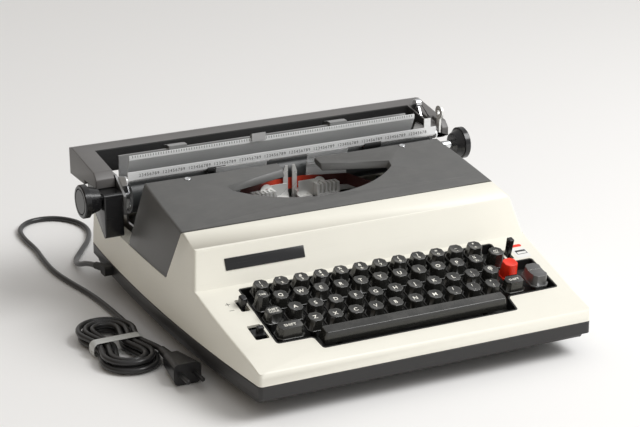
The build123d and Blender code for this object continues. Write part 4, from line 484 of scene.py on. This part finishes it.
# Moulded and pressed pieces get the rounded edges of the real ones: radius, steps, the shortest edge that is
# rounded, and the boxes left square, here the key opening and the rims that other pieces cover
softEdges = {
    "top_housing": {
        "edge": 0.0022, "segments": 4, "shortest": 0.012,
        "leave": (
            ((-0.154, -0.188, 0.0), (0.154, -0.062, 0.12)),
            ((-0.2, -0.2, 0.0), (0.2, 0.2, 0.0325)),
            ((-0.2, -0.03, 0.060), (0.2, 0.2, 0.0665)),
            ((-0.2, -0.0305, 0.068), (0.2, -0.0125, 0.1105)),
        ),
    },
    "ribbon_cover": {"edge": 0.0008, "segments": 3, "shortest": 0.004},
    "rear_housing": {"edge": 0.0010, "segments": 3, "shortest": 0.004},
    "base_tub": {"edge": 0.0010, "segments": 3, "shortest": 0.010},
    "left_end_box": {"edge": 0.0014, "segments": 4, "shortest": 0.006},
    "name_plate": {"edge": 0.00012, "segments": 2},
    "space_bar": {"edge": 0.0006, "segments": 3},
    "red_key": {"edge": 0.0004, "segments": 2},
    "return_key": {"edge": 0.0004, "segments": 2},
}
for keyNode in nodeFinish["keyBlack"]:
    softEdges.setdefault(keyNode, {"edge": 0.0004, "segments": 2})
slotOfFinish = {
    "creamShell": "cream_shell",
    "greyCover": "grey_cover",
    "rearGrey": "grey_cover",
    "baseGrey": "base_grey",
    "glossBlack": "gloss_black",
    "keyBlack": "key_black",
    "keyGrey": "key_black",
    "keyRed": "key_red",
}


def finishOf(name):
    return next(title for title, names in nodeFinish.items() if name in names)


# When two faces count as one, when vertices do, and from what angle on an edge is rounded or kept sharp
cleaning = {"flat": radians(0.5), "merge": 0.000004, "sharp": radians(28)}


def inBox(place, low, high):
    return all(a < value < b for a, value, b in zip(low, place, high))


def softened(name, spec):
    mesh = nodes[name].data.copy()
    mesh.materials.clear()
    mesh.materials.append(finish[finishOf(name)])
    shell = bmesh.new()
    shell.from_mesh(mesh)
    bmesh.ops.remove_doubles(shell, verts=shell.verts, dist=cleaning["merge"])
    bmesh.ops.dissolve_limit(shell, angle_limit=cleaning["flat"], verts=shell.verts, edges=shell.edges)
    chosen = shell.edges.layers.float.new("bevel_weight_edge")
    for edge in shell.edges:
        if len(edge.link_faces) != 2 or edge.calc_face_angle() < cleaning["sharp"]:
            continue
        middle = (edge.verts[0].co + edge.verts[1].co) / 2
        left = any(inBox(middle, low, high) for low, high in spec.get("leave", ()))
        if edge.is_convex and not left and edge.calc_length() > spec.get("shortest", 0.0):
            edge[chosen] = 1.0
        else:
            edge.smooth = False
    for face in shell.faces:
        face.smooth = True
        face.material_index = 0
    shell.to_mesh(mesh)
    shell.free()
    piece = bpy.data.objects.new(name + "Rounded", mesh)
    scene.collection.objects.link(piece)
    edges = piece.modifiers.new("edges", "BEVEL")
    edges.width = spec["edge"]
    edges.segments = spec["segments"]
    edges.limit_method = "WEIGHT"
    edges.use_clamp_overlap = False
    edges.harden_normals = True
    baked(piece)
    settle(piece, bodyOf(name), slotOfFinish[finishOf(name)], name)
    return piece


rounded = {name: softened(name, spec) for name, spec in softEdges.items()}

# Painted shade: the open channel behind the platen is painted black inside for the shade in it, and the rim
# above it keeps its grey
shadedChannel = {"left": -0.1636, "right": 0.1652, "rear": 0.153, "rim": 0.125}


def blackenChannel(piece, spec):
    piece.data.materials.append(finish["bezelBlack"])
    for face in piece.data.polygons:
        middle = face.center
        inside = spec["left"] < middle.x < spec["right"] and middle.y < spec["rear"]
        onTop = face.normal.z > 0.5 and middle.z > spec["rim"]
        if inside and not onTop:
            # Painted shade: faces inside the channel take the black finish
            face.material_index = 1


blackenChannel(rounded["rear_housing"], shadedChannel)
print("stage: rounded pieces,", sum(len(p.data.polygons) for p in rounded.values()), "faces")

# Cord: the free run, then the hank, as one smooth line
cordRoute = {
    "free": [
        (-0.1665, 0.152, 0.021), (-0.168, 0.172, 0.017), (-0.169, 0.195, 0.0075), (-0.164, 0.219, 0.0027),
        (-0.148, 0.243, 0.0027), (-0.131, 0.268, 0.0027), (-0.120, 0.296, 0.0027), (-0.122, 0.324, 0.0027),
        (-0.139, 0.346, 0.0027), (-0.166, 0.348, 0.0027), (-0.184, 0.328, 0.0027), (-0.188, 0.299, 0.0027),
        (-0.187, 0.266, 0.0027), (-0.191, 0.232, 0.0027), (-0.1925, 0.197, 0.0027), (-0.188, 0.163, 0.0027),
        (-0.182, 0.130, 0.0027), (-0.1802, 0.097, 0.0034), (-0.180, 0.062, 0.0044), (-0.180, 0.0302, 0.0044),
    ],
    "radius": 0.0026,
    "tail": 0.0052,
    "fineness": (8, 4),  # steps along and around
}
hank = {
    "centre": (-0.208, -0.005),
    "bow": 0.028,
    "waist": 0.020,
    "side": 0.030,
    "pitch": 0.0067,
    "layer": 0.006,
    "level": 0.0044,
    "loops": 2.5,  # inwards on the lower layer, then as many outwards on top of them
    "entry": 0.125,  # the cord comes in an eighth of a loop before the first waist
    "steps": 16,
}


def hankPlace(loop):
    entry = hank["entry"]
    climb = hank["loops"] - entry
    nest = hank["pitch"] * (min(loop, hank["loops"]) + entry - max(loop - hank["loops"], 0))
    level = hank["level"] + hank["layer"] * min(max((loop - climb) / (2 * entry), 0.0), 1.0)
    # A quarter of a loop has two parts: along the side, then round the end of the bow
    part = (loop * 8) % 8
    bow, waist = hank["bow"] - nest, hank["waist"] - nest
    quarter = part if part <= 2 else 4 - part if part <= 4 else part - 4 if part <= 6 else 8 - part
    if quarter <= 1:
        ease = quarter * quarter * (3 - 2 * quarter)
        along, across = hank["side"] * quarter, waist + (bow - waist) * ease
    else:
        swing = (quarter - 1) * pi / 2
        along, across = hank["side"] + bow * sin(swing), bow * cos(swing)
    along *= 1 if part <= 4 else -1
    across *= 1 if part <= 2 or part >= 6 else -1
    return (hank["centre"][0] + across, hank["centre"][1] - along, level)


def makeCord():
    points = list(cordRoute["free"])
    steps = int((2 * hank["loops"] + 2 * hank["entry"]) * hank["steps"])
    points += [hankPlace(step / hank["steps"] - hank["entry"]) for step in range(steps + 1)]
    last = points[-1]
    points.append((last[0], last[1] - cordRoute["tail"], last[2]))
    line = bpy.data.curves.new("powerCord", "CURVE")
    line.dimensions = "3D"
    line.resolution_u, line.bevel_resolution = cordRoute["fineness"]
    line.bevel_depth = cordRoute["radius"]
    line.use_fill_caps = True
    spline = line.splines.new("NURBS")
    spline.points.add(len(points) - 1)
    for point, place in zip(spline.points, points):
        point.co = (*place, 1.0)
    spline.order_u = 3
    spline.use_endpoint_u = True
    line.materials.append(finish["cordVinyl"])
    cord = bpy.data.objects.new("powerCord", line)
    settle(cord, "root", "cord_vinyl", "power_cord", "cord_hank")
    return cord, points


# Flat strap round the waist of the hank, its edges a little curled and its run a little uneven
hankStrap = {
    "half": 0.0233,
    "low": 0.0007,
    "high": 0.0143,
    "width": 0.011,
    "wall": 0.0010,
    "round": 0.0045,
    "curl": 0.0005,
    "sway": 0.0006,
    "beat": 0.45,
    "floor": 0.0006,
    "steps": 6,
}


def makeStrap(spec):
    strap = bmesh.new()
    middleX, middleY = hank["centre"]
    ring = []
    corners = (
        (spec["half"] - spec["round"], spec["high"] - spec["round"], 0),
        (-spec["half"] + spec["round"], spec["high"] - spec["round"], 90),
        (-spec["half"] + spec["round"], spec["low"] + spec["round"], 180),
        (spec["half"] - spec["round"], spec["low"] + spec["round"], 270),
    )
    for x, z, start in corners:
        for step in range(spec["steps"] + 1):
            angle = radians(start + 90 / spec["steps"] * step)
            ring.append((middleX + x + spec["round"] * cos(angle), z + spec["round"] * sin(angle)))
    rows = []
    for step in range(spec["steps"] + 1):
        share = step / spec["steps"]
        y = middleY + (share - 0.5) * spec["width"]
        curl = spec["curl"] * (2 * share - 1) ** 2
        row = []
        for index, (x, z) in enumerate(ring):
            sway = spec["sway"] * sin(index * spec["beat"] + share)
            bent = z - curl if z > spec["high"] / 2 else z
            row.append(strap.verts.new((x, y + sway, max(bent, spec["floor"]))))
        rows.append(row)
    for first, second in zip(rows, rows[1:]):
        for index in range(len(ring)):
            after = (index + 1) % len(ring)
            strap.faces.new((first[index], first[after], second[after], second[index]))
    bmesh.ops.recalc_face_normals(strap, faces=strap.faces)
    mesh = bpy.data.meshes.new("hankStrap")
    strap.to_mesh(mesh)
    strap.free()
    mesh.materials.append(finish["tiePlastic"])
    piece = bpy.data.objects.new("hankStrap", mesh)
    scene.collection.objects.link(piece)
    wall = piece.modifiers.new("wall", "SOLIDIFY")
    wall.thickness = spec["wall"]
    wall.offset = 0
    smooth = piece.modifiers.new("smooth", "SUBSURF")
    smooth.levels = 1
    smooth.render_levels = 1
    baked(piece)
    piece.data.shade_smooth()
    return settle(piece, "root", "tie_plastic", "cord_tie")


def lengthOf(curve):
    bare = curve.data.copy()
    bare.bevel_depth = 0
    holder = bpy.data.objects.new("cordLine", bare)
    scene.collection.objects.link(holder)
    points = [vert.co for vert in meshOf(holder).vertices]
    bpy.data.objects.remove(holder)
    return sum((second - first).length for first, second in zip(points, points[1:]))


cord, cordPoints = makeCord()
strap = makeStrap(hankStrap)
cordLength = lengthOf(cord)
print("stage: cord laid,", round(cordLength, 3), "m")

# Deck: u across, v up the slope, height above it, in metres
deckPlane = {"front": -0.194, "level": 0.0426, "rearY": -0.074, "rearLevel": 0.0728}
deckSlope = atan2(deckPlane["rearLevel"] - deckPlane["level"], deckPlane["rearY"] - deckPlane["front"])


def onDeck(u, v, height):
    return Vector((
        u,
        deckPlane["front"] + v * cos(deckSlope) - height * sin(deckSlope),
        deckPlane["level"] + v * sin(deckSlope) + height * cos(deckSlope),
    ))


lettering = {"smooth": 3, "lineSpace": 0.85}


def textShape(words, size, thin=0.0):
    curve = bpy.data.curves.new("words", "FONT")
    curve.body = words
    curve.size = size
    curve.align_x = "CENTER"
    curve.align_y = "CENTER"
    curve.resolution_u = lettering["smooth"]
    curve.offset = thin
    curve.space_line = lettering["lineSpace"]
    holder = bpy.data.objects.new("words", curve)
    scene.collection.objects.link(holder)
    mesh = meshOf(holder)
    bpy.data.objects.remove(holder)
    return mesh


def placeShape(target, mesh, toPlace):
    grown = bmesh.new()
    grown.from_mesh(mesh)
    bmesh.ops.triangulate(grown, faces=grown.faces)
    verts = {vert: target.verts.new(toPlace(vert.co)) for vert in grown.verts}
    for face in grown.faces:
        target.faces.new([verts[vert] for vert in face.verts])
    grown.free()


def pieceFrom(shape, name, material, body, slotName):
    mesh = bpy.data.meshes.new(name)
    shape.to_mesh(mesh)
    shape.free()
    mesh.materials.append(finish[material])
    piece = bpy.data.objects.new(name, mesh)
    return settle(piece, body, slotName)


# Legends, sunk into the dish of each key: heights of the key tops, letters, and where the keys stand. A word
# has its place on the deck, how much taller its key is, and its size. One key of a row is a body of its own.
legends = {
    "rise": 0.0090,
    "dish": 0.020,
    "depth": 0.0008,
    "lift": 0.00012,
    "size": 0.0058,
    "small": 0.0044,
    "thin": 0.00009,
    "apart": 0.0024,
    "ownRow": "keys_row_3",
    "ownPlace": 5,
    "rows": {
        "keys_row_1": ["1!", "2\"", "3#", "4$", "5%", "6&", "7/", "8(", "9)", "0=", "-_", "+*"],
        "keys_row_2": list("QWERTYUIOP") + ["½¼"],
        "keys_row_3": list("ASDFGHJKL") + [";:", "'@"],
        "keys_row_4": list("ZXCVBNM") + [",?", ".!", "/°"],
    },
    "v": (0.1076, 0.08855, 0.0695, 0.05045),
    "u": (-0.1089, -0.099375, -0.0946, -0.0851),
    "pitch": 0.01905,
    "words": {
        "tab_key": ("TAB", -0.1168, 0.08855, 0.004, 0.0034),
        "shift_lock": ("SHIFT\nLOCK", -0.1146, 0.0695, 0.0, 0.0036),
        "shift_left": ("SHIFT", -0.1100, 0.0468, 0.0, 0.0044),
        "shift_right": ("SHIFT", 0.1083, 0.05045, 0.0, 0.0040),
        "backspace_key": ("BACK\nSPACE", 0.1112, 0.08855, 0.004, 0.0030),
        "return_key": ("RETURN", 0.1345, 0.0600, 0.0, 0.0036),
    },
}


def legendPlace(u, v, tall, ridge=False):
    def toPlace(point):
        reach = point.y if ridge else hypot(point.x, point.y)
        hollow = reach ** 2 / (2 * legends["dish"]) - legends["depth"]
        return onDeck(u + point.x, v + point.y, legends["rise"] + tall + hollow + legends["lift"])
    return toPlace


def makeLegends():
    for number, (row, marks) in enumerate(legends["rows"].items()):
        shape = bmesh.new()
        own = bmesh.new()
        for place, mark in enumerate(marks):
            u = legends["u"][number] + legends["pitch"] * place
            v = legends["v"][number]
            target = own if (row, place) == (legends["ownRow"], legends["ownPlace"]) else shape
            if len(mark) == 1:
                placeShape(target, textShape(mark, legends["size"], legends["thin"]), legendPlace(u, v, 0))
            else:
                for sign, shift in zip(mark, (-legends["apart"], legends["apart"])):
                    low = textShape(sign, legends["small"], legends["thin"])
                    for vert in low.vertices:
                        vert.co.y += shift
                    placeShape(target, low, legendPlace(u, v, 0))
        pieceFrom(shape, row + "Legends", "legendCream", bodyOf(row), "cream_shell")
        if own.verts:
            pieceFrom(own, "centreKeyLegend", "legendCream", bodyOf("centre_key"), "cream_shell")
        else:
            own.free()
    for node, (word, u, v, tall, size) in legends["words"].items():
        shape = bmesh.new()
        placeShape(shape, textShape(word, size, legends["thin"] / 2), legendPlace(u, v, tall, ridge=True))
        pieceFrom(shape, node + "Legend", "legendCream", bodyOf(node), "cream_shell")


makeLegends()
print("stage: legends on the keys")

# Marks printed on the deck
deckMarks = {
    "plus": (-0.1430, 0.0990, 0.0045),
    "minus": (-0.1430, 0.0900, 0.0045),
    "line": 0.0005,
    "lift": 0.00006,
    "cornerSteps": 4,
}


def flatBar(shape, u, v, width, depth):
    corners = [(-1, -1), (1, -1), (1, 1), (-1, 1)]
    places = [onDeck(u + a * width / 2, v + b * depth / 2, deckMarks["lift"]) for a, b in corners]
    shape.faces.new([shape.verts.new(place) for place in places])


# Coloured fields printed beside the power lever, one over the other: middle and size on the deck, how round
# the corners are as a share of the short side, then the finish
deckFields = [
    ("redField", (0.1446, 0.1075), (0.0115, 0.0038), 0.45, "keyRed", "key_red"),
    ("whiteField", (0.1437, 0.0962), (0.0140, 0.0150), 0.12, "markWhite", "cream_shell"),
    ("frameField", (0.1445, 0.0972), (0.0105, 0.0062), 0.12, "markBlack", "gloss_black"),
    ("innerField", (0.1445, 0.0962), (0.0092, 0.0030), 0.12, "markWhite", "cream_shell"),
]


def makeDeckFields(fields):
    steps = deckMarks["cornerSteps"]
    for layer, (title, middle, size, share, material, slotName) in enumerate(fields):
        shape = bmesh.new()
        turn = min(size) * share
        height = deckMarks["lift"] * (1 + layer)
        ring = []
        for sideX, sideY, start in ((1, 1, 0), (-1, 1, 90), (-1, -1, 180), (1, -1, 270)):
            for step in range(steps + 1):
                angle = radians(start + 90 / steps * step)
                u = middle[0] + sideX * (size[0] / 2 - turn) + turn * cos(angle)
                v = middle[1] + sideY * (size[1] / 2 - turn) + turn * sin(angle)
                ring.append(shape.verts.new(onDeck(u, v, height)))
        shape.faces.new(ring)
        pieceFrom(shape, title, material, "root", slotName)


def makeDeckMarks(spec):
    shape = bmesh.new()
    for title in ("plus", "minus"):
        u, v, size = spec[title]
        flatBar(shape, u, v, size, spec["line"])
        if title == "plus":
            flatBar(shape, u, v + size / 4 + spec["line"] / 4, spec["line"], size / 2 - spec["line"] / 2)
            flatBar(shape, u, v - size / 4 - spec["line"] / 4, spec["line"], size / 2 - spec["line"] / 2)
    pieceFrom(shape, "deckMarks", "markBlack", "root", "gloss_black")


makeDeckMarks(deckMarks)
makeDeckFields(deckFields)

# Figures and ticks of the two scales
bailScale = {"front": 0.08217, "low": 0.12461, "high": 0.13211, "half": 0.148, "step": 0.00254,
             "figure": 0.0040, "share": 0.47, "lift": 0.00007}
rearScale = {"front": 0.1054, "high": 0.1395, "half": 0.146, "step": 0.00254, "drop": 0.0012,
             "lift": 0.00002, "tick": (0.0004, 0.00012, 0.0022)}


def makeFigures(name, spec, body):
    shape = bmesh.new()
    glyphs = {str(figure): textShape(str(figure), spec["figure"]) for figure in range(10)}
    count = int(spec["half"] / spec["step"])
    level = spec["low"] + (spec["high"] - spec["low"]) * spec["share"]
    front = spec["front"] - spec["lift"]
    for place in range(-count, count + 1):
        figure = place % 10
        if figure == 0:
            continue
        x = place * spec["step"]
        placeShape(shape, glyphs[str(figure)],
                   lambda point, x=x: Vector((x + point.x, front, level + point.y)))
    return pieceFrom(shape, name, "markBlack", body, "gloss_black")


makeFigures("bailFigures", bailScale, bodyOf("paper_bail"))


# Row of small bars along a line, for the ticks of a scale
def makeTickTree():
    tree = bpy.data.node_groups.new("tickRow", "GeometryNodeTree")
    tree.interface.new_socket("Geometry", in_out="INPUT", socket_type="NodeSocketGeometry")
    sizes = (
        ("Count", "NodeSocketInt", 10),
        ("Start", "NodeSocketVector", (0, 0, 0)),
        ("Step", "NodeSocketVector", (0.00254, 0, 0)),
        ("Size", "NodeSocketVector", (0.0003, 0.0001, 0.002)),
        ("Material", "NodeSocketMaterial", None),
    )
    for title, kind, value in sizes:
        socket = tree.interface.new_socket(title, in_out="INPUT", socket_type=kind)
        if value is not None:
            socket.default_value = value
    tree.interface.new_socket("Geometry", in_out="OUTPUT", socket_type="NodeSocketGeometry")
    link = tree.links.new
    start = addNode(tree, "NodeGroupInput", (-700, 0))
    line = addNode(tree, "GeometryNodeMeshLine", (-400, 100))
    link(start.outputs["Count"], line.inputs["Count"])
    link(start.outputs["Start"], line.inputs["Start Location"])
    link(start.outputs["Step"], line.inputs["Offset"])
    bar = addNode(tree, "GeometryNodeMeshCube", (-400, -150))
    link(start.outputs["Size"], bar.inputs["Size"])
    copies = addNode(tree, "GeometryNodeInstanceOnPoints", (-150, 0))
    link(line.outputs[0], copies.inputs["Points"])
    link(bar.outputs[0], copies.inputs["Instance"])
    real = addNode(tree, "GeometryNodeRealizeInstances", (50, 0))
    link(copies.outputs[0], real.inputs[0])
    painted = addNode(tree, "GeometryNodeSetMaterial", (250, 0))
    link(real.outputs[0], painted.inputs["Geometry"])
    link(start.outputs["Material"], painted.inputs["Material"])
    end = addNode(tree, "NodeGroupOutput", (450, 0))
    link(painted.outputs[0], end.inputs[0])
    return tree


tickRow = makeTickTree()


def makeTicks(name, count, start, step, size, material, body, slotName):
    seedMesh = bpy.data.meshes.new(name)
    seedMesh.from_pydata([start], [], [])
    piece = bpy.data.objects.new(name, seedMesh)
    scene.collection.objects.link(piece)
    row = piece.modifiers.new("row", "NODES")
    row.node_group = tickRow
    values = {"Count": count, "Start": start, "Step": step, "Size": size, "Material": finish[material]}
    for socket in tickRow.interface.items_tree:
        if socket.in_out == "INPUT" and socket.name in values:
            row[socket.identifier] = values[socket.name]
    baked(piece)
    return settle(piece, body, slotName)


rearHalf = int(rearScale["half"] / rearScale["step"])
rearStart = (-rearHalf * rearScale["step"], rearScale["front"] - rearScale["lift"],
             rearScale["high"] - rearScale["drop"])
makeTicks("rearTicks", 2 * rearHalf + 1, rearStart, (rearScale["step"], 0, 0), rearScale["tick"],
          "markBlack", bodyOf("paper_table"), "gloss_black")
print("stage: scales marked")

# Floor, light and the pale room
studio = {
    "floor": {"color": (0.88, 0.875, 0.865), "rough": 0.7, "shine": 0.2},
    "room": (0.955, 0.950, 0.945),
    "bright": (0.70, 0.70, 0.70),
    "dim": (0.20, 0.165, 0.125),
    "brightSide": (0.75, -0.10, 0.35),
    "blend": 0.75,
    "reach": 9.0,
    "box": {"place": (1.20, -0.95, 1.75), "aim": (0.05, 0.0, 0.05), "size": (1.5, 1.1), "power": 40.0},
}


def makeStudio(spec):
    world = bpy.data.worlds.new("room")
    scene.world = world
    world.use_nodes = True
    tree = world.node_tree
    background = tree.nodes["Background"]
    path = addNode(tree, "ShaderNodeLightPath", (-500, 300))
    place = addNode(tree, "ShaderNodeTexCoord", (-1100, 0))
    toward = addNode(tree, "ShaderNodeVectorMath", (-900, 0), operation="DOT_PRODUCT")
    toward.inputs[1].default_value = Vector(spec["brightSide"]).normalized()
    tree.links.new(place.outputs["Generated"], toward.inputs[0])
    share = addNode(tree, "ShaderNodeMapRange", (-700, 0), interpolation_type="SMOOTHSTEP")
    share.inputs["From Min"].default_value = -spec["blend"]
    share.inputs["From Max"].default_value = spec["blend"]
    tree.links.new(toward.outputs["Value"], share.inputs["Value"])
    lit = mixColour(tree, (-450, 0), share.outputs[0], spec["dim"], spec["bright"])
    tree.links.new(mixColour(tree, (-200, 100), path.outputs["Is Camera Ray"], lit, spec["room"]),
                   background.inputs["Color"])
    panel = bpy.data.lights.new("softBox", "AREA")
    panel.shape = "RECTANGLE"
    panel.size, panel.size_y = spec["box"]["size"]
    panel.energy = spec["box"]["power"]
    lamp = bpy.data.objects.new("softBox", panel)
    scene.collection.objects.link(lamp)
    back = Vector(spec["box"]["place"]) - Vector(spec["box"]["aim"])
    lamp.matrix_world = back.to_track_quat("Z", "Y").to_matrix().to_4x4()
    lamp.location = spec["box"]["place"]
    mesh = bpy.data.meshes.new("floor")
    reach = spec["reach"]
    mesh.from_pydata([(-reach, -reach, 0), (reach, -reach, 0), (reach, reach, 0), (-reach, reach, 0)], [],
                     [(0, 1, 2, 3)])
    floor = bpy.data.objects.new("floor", mesh)
    scene.collection.objects.link(floor)
    paper = bpy.data.materials.new("paleFloor")
    paper.use_nodes = True
    shader = paper.node_tree.nodes["Principled BSDF"]
    shader.inputs["Base Color"].default_value = (*spec["floor"]["color"], 1.0)
    shader.inputs["Roughness"].default_value = spec["floor"]["rough"]
    shader.inputs["Specular IOR Level"].default_value = spec["floor"]["shine"]
    mesh.materials.append(paper)


makeStudio(studio)
print("stage: floor and light")
